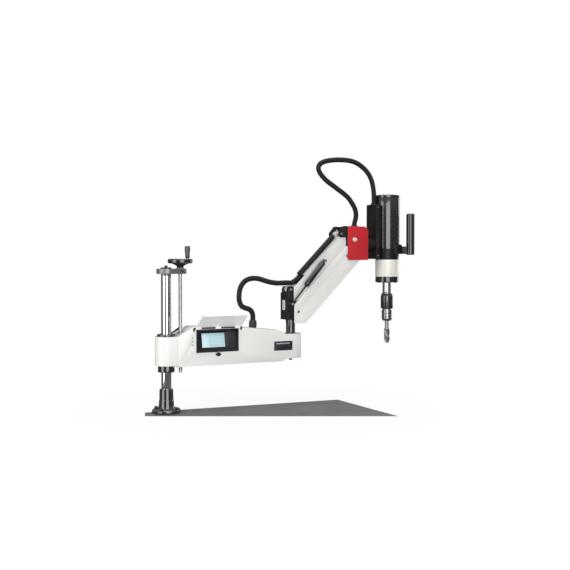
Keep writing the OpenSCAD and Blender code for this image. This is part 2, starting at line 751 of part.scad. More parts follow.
module spring_head_stud() color("#a7a9ad") translate([head_at[0], 0, head_at[1]])
    spring_stud(-inner_y, 6);

// ---------------------------------------------------------------- head bracket and red cover

bracket_x0 = b2[0] - 14;
hub_x0 = b2[0] + 98;     // where the bracket's core meets the roll hub
hub_x1 = plate_x - gap;
hub_r = 38;
roll_r = 18;             // roll shaft
core_z = 616;
core_top = 757;
ear_top = 763;           // ears beside the inner channel, up to the red cover

module head_bracket() color("#19191c") difference() {
    union() {
        slab(-block_y, block_y) polygon([
            [bracket_x0, core_z], [hub_x0, core_z], [hub_x0, core_top - 14],
            [hub_x0 - 14, core_top], [b1[0] + 36, core_top],
            [b1[0] + 36, core_top - 43], [bracket_x0, core_z + 62]
        ]);
        slab(-ear_y, ear_y) polygon([
            [b1[0] + 36, core_top - 43], [hub_x0, core_top - 43], [hub_x0, core_top - 14],
            [hub_x0 - 14, core_top], [b1[0] + 36, core_top]
        ]);
        for (side = [0, 1]) mirror([0, side, 0]) slab(inner_y + 1, ear_y) union() {
            translate(b1) circle(r = 15);
            polygon([
                [b1[0] - 11, b1[1] + 10], [b1[0] + 10, ear_top], [cover_x0 - gap, ear_top],
                [cover_x0 - gap, core_top], [b1[0] + 37, core_top],
                [b1[0] + 37, core_top - 43], [b1[0], b1[1] - 14]
            ]);
        }
        translate([hub_x0 - eps, 0, roll_z]) rotate([0, 90, 0])
            cylinder(r = hub_r, h = hub_x1 - hub_x0 + eps);
    }
    bar_y(pin_r, -60, 60, b1);
    for (side = [0, 1]) mirror([0, side, 0]) bar_y(pin_r, 15, 60, b2);
    translate([hub_x0 - 30, 0, roll_z]) rotate([0, 90, 0])
        cylinder(r = roll_r + run, h = 200);
    translate([hub_x0 - 31, 0, roll_z]) rotate([0, 90, 0]) cylinder(r = roll_r + 6, h = 9);
}

module front_link_pins() color("#bfc1c4") {
    bar_y(pin_r - run, -ear_y - 1, ear_y + 1, b1);
    for (side = [0, 1]) mirror([0, side, 0]) union() {
        bar_y(pin_r - run, 16, outer_y, b2);
        bar_y(pin_r + 3, block_y + seat, outer_y - link_wall - gap, b2);
    }
}

cover_x0 = b2[0] - 1;    // red cover
cover_x1 = cover_x0 + 105;
cover_z0 = 614;
cover_z1 = 762;
cover_y = 49;
cover_wall = 3;
cover_cut = 16;          // chamfer at its top outer corner

module cover_side(w) polygon([
    [cover_x0 - (w > 0 ? 5 : 0), cover_z0 - (w > 0 ? 5 : 0)],
    [cover_x1 - w, cover_z0 - (w > 0 ? 5 : 0)],
    [cover_x1 - w, cover_z1 - cover_cut - w * 0.4], [cover_x1 - cover_cut - w * 0.4, cover_z1 - w],
    [cover_x0 - (w > 0 ? 5 : 0), cover_z1 - w]
]);

head_exit_x = cover_x0 + 62; // where the head's conduit leaves the cover

module head_cover() color("#c9252d") difference() {
    slab(-cover_y, cover_y) cover_side(0);
    slab(-cover_y + cover_wall, cover_y - cover_wall) cover_side(cover_wall);
    translate([cover_x1 - 10, 0, roll_z]) rotate([0, 90, 0]) cylinder(r = hub_r + 1, h = 20);
    translate([head_exit_x, 0, cover_z1 - 10]) cylinder(r = hose_r + 2, h = 20);
}

module head_gland() color("#232326") difference() {
    union() {
        ring(hose_r + 2 - run, 0, core_top + seat, cover_z1 + 4, head_exit_x);
        ring(hose_r + 4.5, 0, cover_z1 + seat, cover_z1 + 6, head_exit_x);
    }
    translate([head_exit_x, 0, core_top - eps]) cylinder(r = hose_r + 0.3, h = 30);
}

// ---------------------------------------------------------------- motor head

plate_t = 20;
plate_y = 40;
plate_z0 = 619;
plate_z1 = 865;
conduit_x = plate_x + 14; // where the head's conduit enters the plate
conduit_boss_r = hose_r + 2.6;

module roll_shaft() color("#a4a6aa") translate([hub_x0 - 28, 0, roll_z]) rotate([0, 90, 0]) union() {
    cylinder(r = roll_r, h = plate_x - hub_x0 + 28 - seat);
    translate([0, 0, -1]) cylinder(r = roll_r + 4, h = 6);
}

module motor_back_plate() color("#18181b") difference() {
    union() {
        slab(-plate_y, plate_y) polygon([
            [plate_x, plate_z0], [plate_x + plate_t, plate_z0], [plate_x + plate_t, plate_z1],
            [plate_x + 4, plate_z1], [plate_x, plate_z1 - 4]
        ]);
        translate([plate_x + plate_t - eps, -30, shoulder_top + 8])
            cube([24, 60, plate_z1 - shoulder_top - 28]);
        ring(conduit_boss_r, 0, plate_z1 - 20, plate_z1 + 7, conduit_x);
    }
    translate([spindle_x, 0, plate_z0 - 10]) cylinder(r = motor_r + seat, h = 300);
    translate([conduit_x, 0, plate_z1 - 15.5]) cylinder(r = hose_r + 0.3, h = 40);
}

cap_z = motor_top - 12;  // seam between the cover and its cap
motor_wall = 3;

module motor_cover() color("#1b1b1e") difference() {
    ring(motor_r, motor_r - motor_wall, shoulder_top, cap_z, spindle_x);
    for (z = button_z) on_face(z) translate([0, 0, -10]) cylinder(r = button_r + 0.4, h = 20);
}

module motor_cap() color("#121214") turned([
    [0, cap_z + 4], [motor_r - motor_wall - 4, cap_z - 4], [motor_r - motor_wall - seat, cap_z - 4],
    [motor_r - motor_wall - seat, cap_z], [motor_r + 1, cap_z], [motor_r + 1, motor_top - 3],
    [motor_r - 2, motor_top], [0, motor_top]
], spindle_x);

button_angle = -70;      // the two push buttons on the cover
button_z = [cap_z - 94, cap_z - 118];
button_r = 5;

// on the cover's surface, Z pointing out
module on_face(z) {
    translate([spindle_x, 0, z]) rotate(button_angle) translate([motor_r, 0, 0])
        rotate([0, 90, 0]) children();
}

module push_button(z) on_face(z) union() {
    translate([0, 0, -7]) cylinder(r = button_r, h = 9.5);
    translate([0, 0, -9]) cylinder(r = button_r + 1.5, h = 4);
}

module start_button() color("#26282c") push_button(button_z[0]);
module reverse_button() color("#26282c") push_button(button_z[1]);

servo_r = 43;            // servo motor inside the cover
servo_z = shoulder_top + 12;
servo_top = cap_z - 69;  // body, with the encoder's ring above it
servo_half = 40;

module servo_motor() color("#2a2b2e") union() {
    intersection() {
        translate([spindle_x - servo_half, -servo_half, servo_z])
            cube([2 * servo_half, 2 * servo_half, servo_top - servo_z]);
        translate([spindle_x, 0, servo_z]) cylinder(r = servo_half + 10, h = servo_top - servo_z);
    }
    ring(servo_r - 6, 0, servo_top - eps, servo_top + 40, spindle_x);
}

nose_z = 513;            // underside of the black bearing ring
bearing_z = 539;
spacer_z = 616;          // top of the cream ring

// reduction gearbox: flange under the servo, tapered shoulder, spigot below
module gearbox() color("#1a1a1d") difference() {
    turned([
        [0, spacer_z - 20], [ring_r - 10, spacer_z - 20], [ring_r - 10, spacer_z + seat],
        [ring_r, spacer_z + seat], [ring_r + 1, spacer_z + 20], [motor_r - 1, shoulder_top - 6],
        [motor_r, shoulder_top - seat], [motor_r - motor_wall - 1, shoulder_top - seat],
        [motor_r - motor_wall - 1, servo_z - seat], [0, servo_z - seat]
    ], spindle_x);
    translate([spindle_x, 0, spacer_z - 21]) cylinder(r = 15 + run, h = 42);
}

module spacer_ring() color("#efeadb") difference() {
    turned([
        [0, bearing_z], [ring_r - 0.5, bearing_z], [ring_r, bearing_z + 2],
        [ring_r, bearing_z + 8], [ring_r - 1.5, bearing_z + 9.5], [ring_r, bearing_z + 11],
        [ring_r, spacer_z], [0, spacer_z]
    ], spindle_x);
    translate([spindle_x, 0, bearing_z - eps]) cylinder(r = ring_r - 10 + seat, h = 100);
}

module bearing_ring() color("#151517") difference() {
    turned([
        [0, nose_z], [ring_r - 2, nose_z], [ring_r - 0.5, nose_z + 1.5],
        [ring_r - 0.5, bearing_z - seat], [ring_r - 10, bearing_z - seat],
        [ring_r - 10, bearing_z + 20], [0, bearing_z + 20]
    ], spindle_x);
    translate([spindle_x, 0, nose_z - eps]) cylinder(r = nose_d / 2 + run, h = 100);
}

// ---------------------------------------------------------------- handle

handle_z = 638;          // lower end of the grip
handle_l = 187;
handle_grip_r = 19;
arm_z0 = 642;            // bracket's arm
arm_z1 = 676;
band_t = 10;
stem_r = 7;

module at_handle() translate([spindle_x, 0, 0]) rotate(handle_angle) children();

// band round the front of the cover's foot, arm and the stem in the grip
module handle_bracket() color("#1a1a1d") at_handle() difference() {
    union() {
        intersection() {
            ring(motor_r + band_t, motor_r + seat, arm_z0, arm_z1 + 8);
            rotate(-18) translate([0, -38, arm_z0 - 5]) cube([100, 76, 60]);
        }
        translate([motor_r + 4, -10, arm_z0]) cube([handle_r - motor_r - 4, 20, arm_z1 - arm_z0]);
        ring(13, 0, arm_z0, arm_z1, handle_r);
        ring(stem_r, 0, handle_z + 6, handle_z + handle_l - 20, handle_r);
    }
    translate([0, 0, arm_z0 - 10]) cylinder(r = motor_r + seat, h = 80);
}

module handle_grip() color("#101012") at_handle() difference() {
    turned([
        [0, handle_z], [handle_grip_r - 3, handle_z], [handle_grip_r, handle_z + 3],
        [handle_grip_r, handle_z + handle_l - 4], [handle_grip_r - 4, handle_z + handle_l],
        [0, handle_z + handle_l]
    ], handle_r);
    translate([handle_r, 0, handle_z + 5]) cylinder(r = stem_r + run, h = handle_l - 24);
    translate([handle_r - 40, -10 - seat, arm_z0 - seat])
        cube([40, 20 + 2 * seat, arm_z1 - arm_z0 + 2 * seat]);
    translate([handle_r, 0, arm_z0 - seat]) cylinder(r = 13 + seat, h = arm_z1 - arm_z0 + 2 * seat);
}

// ---------------------------------------------------------------- spindle, chuck and tap

nose_bottom = 468;
chuck_r = 28;            // quick-change sleeve
sleeve_bottom = 393;
collet_r = 23.5;
collet_bottom = 338;
sleeve_travel = 5;
shank_r = 9;
tap_r = 13.5;
tap_z = 237;             // tip of the tap
flute_top = 300;
flutes = 4;

module spindle_shaft() color("#c4c6c9") turned([
    [0, nose_bottom - 40], [14, nose_bottom - 40], [14, nose_bottom], [nose_d / 2 - 1, nose_bottom],
    [nose_d / 2, nose_bottom + 1], [nose_d / 2, bearing_z + 24], [15, bearing_z + 24],
    [15, spacer_z + 14], [0, spacer_z + 14]
], spindle_x);

// quick-change body: socket for the spindle nose above, collet cage below
module chuck_body() color("#55585c") difference() {
    turned([
        [0, collet_bottom], [collet_r - 5, collet_bottom], [collet_r, collet_bottom + 8],
        [collet_r, collet_bottom + 14], [collet_r - 1, collet_bottom + 15],
        [collet_r - 1, collet_bottom + 18], [collet_r, collet_bottom + 19],
        [collet_r, collet_bottom + 28], [collet_r - 1, collet_bottom + 29],
        [collet_r - 1, collet_bottom + 32], [collet_r, collet_bottom + 33],
        [collet_r, sleeve_bottom - sleeve_travel - 1.5], [20, sleeve_bottom - sleeve_travel - 1.5],
        [20, nose_bottom - seat], [0, nose_bottom - seat]
    ], spindle_x);
    translate([spindle_x, 0, nose_bottom - 41]) cylinder(r = 14 + run, h = 60);
    translate([spindle_x, 0, collet_bottom - eps]) cylinder(r = shank_r + run, h = 50);
}

// sleeve that slides down on the body to free the tap adapter
module chuck_sleeve() color("#141416") difference() {
    turned([
        [0, sleeve_bottom], [chuck_r - 2.5, sleeve_bottom], [chuck_r, sleeve_bottom + 4],
        [chuck_r, nose_bottom - 18], [chuck_r - 5, nose_bottom - 5], [0, nose_bottom - 5]
    ], spindle_x);
    translate([spindle_x, 0, sleeve_bottom - 10]) cylinder(r = 20 + run, h = 100);
}

// spiral-fluted machine tap: shank with four grooves wound round its body
module tap() color("#c0c2c6") union() {
    turned([
        [0, flute_top - 2], [tap_r - 2, flute_top - 2], [tap_r - 2, flute_top + 1], [shank_r, flute_top + 5],
        [shank_r, collet_bottom + 46], [0, collet_bottom + 46]
    ], spindle_x);
    intersection() {
        translate([spindle_x, 0, tap_z]) linear_extrude(height = flute_top - tap_z, twist = -150, slices = 24)
            difference() {
                circle(r = tap_r, $fn = 32);
                for (i = [0:flutes - 1]) rotate(i * 360 / flutes) translate([tap_r + 0.5, 0])
                    circle(r = tap_r * 0.55, $fn = 16);
            }
        turned([
            [0, tap_z], [tap_r - 5, tap_z], [tap_r + 1, tap_z + 14], [tap_r + 1, flute_top], [0, flute_top]
        ], spindle_x);
    }
}

// ---------------------------------------------------------------- conduits

rib_pitch = 6.5;         // from rib to rib
hose_sides = 8;

// routes in X, Y, Z, from end to end
arm_route = [
    [382, 0, 338], [382, 0, 360], [382, 0, 381], [376, 0, 397], [364, 0, 407], [347, 0, 412],
    [331, 0, 420], [321, 0, 439], [319, 0, 461], [322, 0, 486], [331, 0, 508],
    [347, 0, 525], [368, 0, 534], [392, 0, 536], [414, 0, 533], [440, 0, 525],
    [466, 0, 518.5], [500, 0, 514.5], [532, 0, 515.5], [561, 0, 515.5]
];
link_route = [
    [561.6, 0, 515.5], [566, 0, 515.5], [573, 0, 518.6], [583, 0, 524], [594, 0, 529.5],
    [604, 0, 536.3], [611, 0, 543.2]
];
head_route = [
    [881, 0, 757.6], [881.5, 0, 776], [889, 0, 803], [889, 0, 826], [879, 0, 852],
    [846, 0, 893], [786, 0, 932], [731, 0, 967], [700, 0, 1003], [704, 0, 1030],
    [738, 0, 1047], [805, 0, 1056], [878, 0, 1051], [934, 0, 1022], [968, 0, 981],
    [982, 0, 932], [985, 0, 892], [985, 0, 866], [985, 0, 850]
];

// a smooth curve through the route's points
function curve_at(p, i, t) = let (
        a = p[max(i - 1, 0)], b = p[i], c = p[i + 1], d = p[min(i + 2, len(p) - 1)]
    ) 0.5 * ((2 * b) + (c - a) * t + (2 * a - 5 * b + 4 * c - d) * t * t
        + (3 * b - a - 3 * c + d) * t * t * t);
function chord(p, i) = norm(p[i + 1] - p[i]);

// centres of the rings, evenly spaced along the route
function rings_of(p, step) = [
    for (i = [0:len(p) - 2]) let (n = max(1, round(chord(p, i) / step)))
        for (k = [0:n - 1]) curve_at(p, i, k / n),
    p[len(p) - 1]
];
function heading(c, i) = let (
        d = c[min(i + 1, len(c) - 1)] - c[max(i - 1, 0)]
    ) d / norm(d);
// the routes lie in the plane of the arms, so Y is always square to them
function hoop(c, dir, r) = [
    for (k = [0:hose_sides - 1]) let (a = 360 * k / hose_sides)
        c + r * (cos(a) * [0, 1, 0] + sin(a) * cross(dir, [0, 1, 0]))
];

// ribbed tube with its bore: crests and roots outside, smooth inside
module conduit(route) {
    c = rings_of(route, rib_pitch / 2);
    n = len(c);
    outer = [for (i = [0:n - 1])
        hoop(c[i], heading(c, i), i < 4 || i > n - 5 || i % 2 == 0 ? hose_root_r : hose_r)];
    inner_at = [for (i = [n - 1:-1:0]) if (i == 0 || i == n - 1 || i % 6 == 0) i];
    inner = [for (i = inner_at) hoop(c[i], heading(c, i), hose_bore_r)];
    hoops = concat(outer, inner);
    m = len(hoops);
    s = hose_sides;
    polyhedron(
        points = [for (h = hoops) for (p = h) p],
        faces = [for (i = [0:m - 1]) let (j = (i + 1) % m) for (k = [0:s - 1]) let (l = (k + 1) % s)
            each [[i * s + k, j * s + k, j * s + l], [i * s + k, j * s + l, i * s + l]]]
    );
}

module arm_hose() color("#1d1d1f") conduit(arm_route);
module link_hose() color("#1d1d1f") conduit(link_route);
module head_hose() color("#1d1d1f") conduit(head_route);

// ---------------------------------------------------------------- nodes

base_flange();
column_tube();
column_cap();
top_yoke();
screw_bearing();
lead_screw();
handwheel();
crank_pin();
crank_grip();
column_carriage();
upper_bush();
lower_collar();
lift_nut();
lock_lever();
control_box();
box_back_cover();
hmi_bezel();
lcd_screen();
window_lid();
lid_hinge_rod();
lid_latch();
indicator_lamps();
hose_gland();
servo_drive();
swivel_post();
post_bolt();
swivel_block();
swivel_bushes();
rear_link_pins();
front_link_pins();
upper_link();
lower_link();
cable_duct();
gas_cylinder();
gas_rod();
spring_foot_stud();
spring_head_stud();
head_bracket();
head_cover();
head_gland();
roll_shaft();
motor_back_plate();
motor_cover();
motor_cap();
servo_motor();
gearbox();
spacer_ring();
bearing_ring();
handle_bracket();
handle_grip();
start_button();
reverse_button();
spindle_shaft();
chuck_body();
chuck_sleeve();
tap();
arm_hose();
link_hose();
head_hose();
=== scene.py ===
import json
import math

import bmesh
import bpy
from mathutils import Matrix, Vector


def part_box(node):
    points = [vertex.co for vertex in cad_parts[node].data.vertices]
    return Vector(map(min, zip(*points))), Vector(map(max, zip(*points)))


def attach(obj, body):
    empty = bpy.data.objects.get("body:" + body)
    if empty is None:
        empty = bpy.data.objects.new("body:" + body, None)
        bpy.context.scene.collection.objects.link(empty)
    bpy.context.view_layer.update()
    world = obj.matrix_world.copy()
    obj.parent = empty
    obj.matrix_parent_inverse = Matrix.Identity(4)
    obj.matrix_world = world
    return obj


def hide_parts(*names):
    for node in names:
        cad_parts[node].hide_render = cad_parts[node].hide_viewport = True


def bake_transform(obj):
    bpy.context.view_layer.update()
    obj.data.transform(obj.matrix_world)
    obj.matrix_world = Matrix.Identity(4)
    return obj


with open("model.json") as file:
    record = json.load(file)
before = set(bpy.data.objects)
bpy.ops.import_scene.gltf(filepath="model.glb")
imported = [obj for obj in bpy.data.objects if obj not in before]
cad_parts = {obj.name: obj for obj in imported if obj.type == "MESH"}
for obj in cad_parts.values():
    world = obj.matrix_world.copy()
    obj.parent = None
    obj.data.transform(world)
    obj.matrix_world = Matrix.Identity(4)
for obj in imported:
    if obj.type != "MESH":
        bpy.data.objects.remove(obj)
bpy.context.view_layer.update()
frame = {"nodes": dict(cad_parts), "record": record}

bpy.context.scene.view_settings.view_transform = "Standard"

# ---------------------------------------------------------------- viewpoint
# The machine is seen from the screen's side, turned towards the column, from
# a little above half its height.
eye = bpy.data.cameras.new("viewpoint")
eye.lens = 53.7
eye.sensor_width = 36
eye.clip_start, eye.clip_end = 0.05, 60
viewpoint = bpy.data.objects.new("viewpoint", eye)
viewpoint.location = (-1.1195, -3.2455, 0.592)
viewpoint.rotation_euler = (math.radians(88.65), 0, math.radians(-27))
bpy.context.collection.objects.link(viewpoint)
bpy.context.scene.camera = viewpoint

# ---------------------------------------------------------------- conduits
# Three lengths of ribbed black conduit carry the wires: from the box to the
# swivel, from there into the duct on the upper link, and from the red cover
# over the top to the motor. Moulded nylon, annular ribs 6.5 mm apart.
CREST = 0.01125
ROOT = 0.0100
BORE = 0.0082
RIB_PITCH = 0.0065
RIB_ROUND = 0.0002
CONDUIT_SIDES = 20
STEPS_PER_STOP = 24
PATH_STEP = 0.004
ARM_ROUTE = [
    (382, 338), (382, 360), (382, 381), (376, 397), (364, 407), (347, 412),
    (331, 420), (321, 439), (319, 461), (322, 486), (331, 508),
    (347, 525), (368, 534), (392, 536), (414, 533), (440, 525),
    (466, 518.5), (500, 514.5), (532, 515.5), (561, 515.5),
]
LINK_ROUTE = [
    (561.6, 515.5), (566, 515.5), (573, 518.6), (583, 524), (594, 529.5),
    (604, 536.3), (611, 543.2),
]
HEAD_ROUTE = [
    (881, 757.6), (881.5, 776), (889, 803), (889, 826), (879, 852),
    (846, 893), (786, 932), (731, 967), (700, 1003), (704, 1030),
    (738, 1047), (805, 1056), (878, 1051), (934, 1022), (968, 981),
    (982, 932), (985, 892), (985, 866), (985, 850),
]


def curve_through(route, step):
    """Evenly spaced points of a smooth curve through the route, and its length in metres."""
    stops = [Vector((x / 1000, 0, z / 1000)) for x, z in route]
    fine = []
    for i in range(len(stops) - 1):
        a, b = stops[max(i - 1, 0)], stops[i]
        c, d = stops[i + 1], stops[min(i + 2, len(stops) - 1)]
        for k in range(STEPS_PER_STOP):
            t = k / STEPS_PER_STOP
            fine.append(0.5 * (2 * b + (c - a) * t
                               + (2 * a - 5 * b + 4 * c - d) * t * t
                               + (3 * b - a - 3 * c + d) * t ** 3))
    fine.append(stops[-1])
    run = [0.0]
    for p, q in zip(fine, fine[1:]):
        run.append(run[-1] + (q - p).length)
    count = max(2, round(run[-1] / step))
    points, j = [], 0
    for i in range(count + 1):
        goal = run[-1] * i / count
        while j < len(fine) - 2 and run[j + 1] < goal:
            j += 1
        share = (goal - run[j]) / max(run[j + 1] - run[j], 1e-9)
        points.append(fine[j].lerp(fine[j + 1], min(share, 1)))
    return points, run[-1]


def conduit(name, node, route):
    """A ribbed tube with its bore, along its route."""
    rib = [(0.0, ROOT), (0.18, ROOT), (0.32, CREST - RIB_ROUND), (0.42, CREST),
           (0.68, CREST), (0.78, CREST - RIB_ROUND), (0.92, ROOT)]
    points = curve_through(route, RIB_PITCH)[0]
    mesh = bmesh.new()
    across = Vector((0, 1, 0))

    def hoop(place, way, radius):
        side = way.cross(across).normalized()
        turn = 2 * math.pi / CONDUIT_SIDES
        return [mesh.verts.new(place + radius * (math.cos(k * turn) * across
                                                 + math.sin(k * turn) * side))
                for k in range(CONDUIT_SIDES)]

    hoops = []
    for i in range(len(points) - 1):
        ahead = points[min(i + 2, len(points) - 1)] - points[i]
        way_a = (points[i + 1] - points[max(i - 1, 0)]).normalized()
        way_b = ahead.normalized()
        # the first and last pitch have no rib, as they sit in a gland or a duct
        plain = i < 1 or i > len(points) - 3
        for t, radius in rib:
            hoops.append(hoop(points[i].lerp(points[i + 1], t),
                              way_a.lerp(way_b, t).normalized(), ROOT if plain else radius))
    last = (points[-1] - points[-2]).normalized()
    hoops.append(hoop(points[-1], last, ROOT))
    for i in range(len(points) - 1, -1, -1):
        way = points[min(i + 1, len(points) - 1)] - points[max(i - 1, 0)]
        hoops.append(hoop(points[i], way.normalized(), BORE))
    for i, ring in enumerate(hoops):
        following = hoops[(i + 1) % len(hoops)]
        for k in range(CONDUIT_SIDES):
            n = (k + 1) % CONDUIT_SIDES
            mesh.faces.new((ring[k], ring[n], following[n], following[k]))
    bmesh.ops.recalc_face_normals(mesh, faces=mesh.faces)
    data = bpy.data.meshes.new(name)
    mesh.to_mesh(data)
    mesh.free()
    piece = bpy.data.objects.new(name, data)
    bpy.context.collection.objects.link(piece)
    for face in data.polygons:
        face.use_smooth = True
    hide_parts(node)
    path, length = curve_through(route, PATH_STEP)
    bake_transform(piece)
    return piece


link_conduit = conduit("link_conduit", "link_hose", LINK_ROUTE)
arm_conduit = conduit("arm_conduit", "arm_hose", ARM_ROUTE)
head_conduit = conduit("head_conduit", "head_hose", HEAD_ROUTE)


def new_group(name, inputs, outputs):
    """An empty node group with value inputs and the named outputs."""
    tree = bpy.data.node_groups.new(name, "ShaderNodeTree")
    for label, value in inputs.items():
        socket = tree.interface.new_socket(label, in_out="INPUT",
                                           socket_type="NodeSocketFloat")
        socket.default_value = value
    for label in outputs:
        tree.interface.new_socket(label, in_out="OUTPUT", socket_type="NodeSocketFloat")
    return tree, tree.nodes.new("NodeGroupInput"), tree.nodes.new("NodeGroupOutput")


def add_node(tree, kind, feeds=None, **settings):
    """One node with its settings; feeds sets or links its inputs by name or number."""
    node = tree.nodes.new(kind)
    for key, value in settings.items():
        setattr(node, key, value)
    for key, value in (feeds or {}).items():
        if isinstance(value, bpy.types.NodeSocket):
            tree.links.new(value, node.inputs[key])
        else:
            node.inputs[key].default_value = value
    return node


def mottle_group():
    """Uneven handling marks: broad soft smudges and a fine skin."""
    tree, given, out = new_group(
        "mottle", {"Smudge Scale": 14.0, "Skin Scale": 700.0}, ("Smudge", "Skin"))
    place = add_node(tree, "ShaderNodeTexCoord").outputs["Object"]
    smudge = add_node(tree, "ShaderNodeTexNoise", {
        "Vector": place, "Scale": given.outputs["Smudge Scale"], "Detail": 5.0,
        "Roughness": 0.62})
    spread = add_node(tree, "ShaderNodeMapRange", {
        "Value": smudge.outputs["Fac"], "From Min": 0.36, "From Max": 0.68})
    skin = add_node(tree, "ShaderNodeTexNoise", {
        "Vector": place, "Scale": given.outputs["Skin Scale"], "Detail": 2.0,
        "Roughness": 0.5})
    tree.links.new(spread.outputs["Result"], out.inputs["Smudge"])
    tree.links.new(skin.outputs["Fac"], out.inputs["Skin"])
    return tree


def edge_rub_group():
    """Rubbed edges: where the surface turns sharply outwards, broken by noise."""
    tree, given, out = new_group("edge_rub", {"Amount": 0.5}, ("Rub",))
    place = add_node(tree, "ShaderNodeTexCoord").outputs["Object"]
    turn = add_node(tree, "ShaderNodeNewGeometry").outputs["Pointiness"]
    sharp = add_node(tree, "ShaderNodeMapRange", {
        "Value": turn, "From Min": 0.54, "From Max": 0.66})
    broken = add_node(tree, "ShaderNodeTexNoise", {
        "Vector": place, "Scale": 160.0, "Detail": 4.0, "Roughness": 0.7})
    patchy = add_node(tree, "ShaderNodeMapRange", {
        "Value": broken.outputs["Fac"], "From Min": 0.42, "From Max": 0.62})
    both = add_node(tree, "ShaderNodeMath", {
        0: sharp.outputs["Result"], 1: patchy.outputs["Result"]}, operation="MULTIPLY")
    rub = add_node(tree, "ShaderNodeMath", {
        0: both.outputs[0], 1: given.outputs["Amount"]}, operation="MULTIPLY")
    tree.links.new(rub.outputs[0], out.inputs["Rub"])
    return tree


MOTTLE = mottle_group()
EDGE_RUB = edge_rub_group()


def use_group(tree, group, **values):
    """Places a group in a material; spaces in its inputs' names are written as _."""
    node = tree.nodes.new("ShaderNodeGroup")
    node.node_tree = group
    for label, value in values.items():
        node.inputs[label.replace("_", " ")].default_value = value
    return node


def blended_colour(tree, mask, plain, other):
    """The plain colour where the mask is dark and the other one where it is light."""
    mix = add_node(tree, "ShaderNodeMix", {
        "Factor": mask, "A": (*plain, 1), "B": (*other, 1)}, data_type="RGBA")
    return mix.outputs["Result"]


def rubbed_tone(tree, tone, rubbed, amount):
    """The tone with its sharp outer edges rubbed through to another colour."""
    edges = use_group(tree, EDGE_RUB, Amount=amount)
    worn = add_node(tree, "ShaderNodeMix", {
        "Factor": edges.outputs["Rub"], "A": tone, "B": (*rubbed, 1)}, data_type="RGBA")
    return worn.outputs["Result"]


COAT_ROUGHNESS = 0.06


def coated(name, colour, rough, spread, skin_scale, skin_depth, rubbed=None, rub=0.5,
           coat=0.0, metallic=0.0, shade=0.9, smudge_scale=14.0, specular=0.5,
           coat_ior=1.5):
    """Paint, lacquer or moulded plastic: its colour drifts and its gloss is handled."""
    made = bpy.data.materials.new(name)
    made.use_nodes = True
    tree = made.node_tree
    shader = tree.nodes["Principled BSDF"]
    marks = use_group(tree, MOTTLE, Smudge_Scale=smudge_scale, Skin_Scale=skin_scale)
    tone = blended_colour(tree, marks.outputs["Smudge"], colour,
                          [c * shade for c in colour])
    if rubbed:
        tone = rubbed_tone(tree, tone, rubbed, rub)
    tree.links.new(tone, shader.inputs["Base Color"])
    gloss = add_node(tree, "ShaderNodeMapRange", {
        "Value": marks.outputs["Smudge"], "To Min": rough, "To Max": rough + spread})
    tree.links.new(gloss.outputs["Result"], shader.inputs["Roughness"])
    bump = add_node(tree, "ShaderNodeBump", {
        "Height": marks.outputs["Skin"], "Strength": 1.0, "Distance": skin_depth})
    tree.links.new(bump.outputs["Normal"], shader.inputs["Normal"])
    shader.inputs["Metallic"].default_value = metallic
    shader.inputs["Coat Weight"].default_value = coat
    shader.inputs["Coat IOR"].default_value = coat_ior
    shader.inputs["Coat Roughness"].default_value = COAT_ROUGHNESS
    shader.inputs["Specular IOR Level"].default_value = specular
    return made


conduit_nylon = coated("conduit_nylon", (0.009, 0.009, 0.010), 0.36, 0.16, 900, 0.00004,
                       shade=1.5, smudge_scale=30, specular=0.28)
for piece in (arm_conduit, link_conduit, head_conduit):
    piece.data.materials.append(conduit_nylon)

# ---------------------------------------------------------------- studio
# A white sweep with the grey corner of a bench under the flange. Tall soft boxes
# stand left of the machine, in front of it and beyond the motor, with a wide one
# overhead. Polished pieces don't mirror the sweep, so they stay dark between lamps.
WHITE_OUT = 1.0
DIFFUSE_ROOM = 0.36
HORIZON_ROOM, OVERHEAD_ROOM = 0.13, 0.6
studio = bpy.data.worlds.new("studio")
bpy.context.scene.world = studio
studio.use_nodes = True
tree = studio.node_tree
tree.nodes.clear()
rays = tree.nodes.new("ShaderNodeLightPath")
plain = add_node(tree, "ShaderNodeBackground", {
    "Color": (1, 1, 1, 1), "Strength": DIFFUSE_ROOM})
seen = add_node(tree, "ShaderNodeBackground", {
    "Color": (1, 1, 1, 1), "Strength": WHITE_OUT})
# what metal and lacquer mirror: a dark room at the horizon, pale overhead
height = add_node(tree, "ShaderNodeSeparateXYZ", {
    "Vector": tree.nodes.new("ShaderNodeTexCoord").outputs["Generated"]})
room = add_node(tree, "ShaderNodeMapRange", {
    "Value": height.outputs["Z"], "From Min": 0.1, "From Max": 0.8,
    "To Min": HORIZON_ROOM, "To Max": OVERHEAD_ROOM}, interpolation_type="SMOOTHSTEP")
mirrored = add_node(tree, "ShaderNodeBackground", {
    "Color": (1, 1, 1, 1), "Strength": room.outputs["Result"]})
gloss_mix = add_node(tree, "ShaderNodeMixShader", {0: rays.outputs["Is Glossy Ray"]})
tree.links.new(plain.outputs[0], gloss_mix.inputs[1])
tree.links.new(mirrored.outputs[0], gloss_mix.inputs[2])
direct = add_node(tree, "ShaderNodeMath", {
    0: rays.outputs["Is Camera Ray"], 1: rays.outputs["Is Transmission Ray"]},
    operation="MAXIMUM")
sky_mix = add_node(tree, "ShaderNodeMixShader", {0: direct.outputs[0]})
tree.links.new(gloss_mix.outputs[0], sky_mix.inputs[1])
tree.links.new(seen.outputs[0], sky_mix.inputs[2])
sky_out = tree.nodes.new("ShaderNodeOutputWorld")
tree.links.new(sky_mix.outputs[0], sky_out.inputs["Surface"])


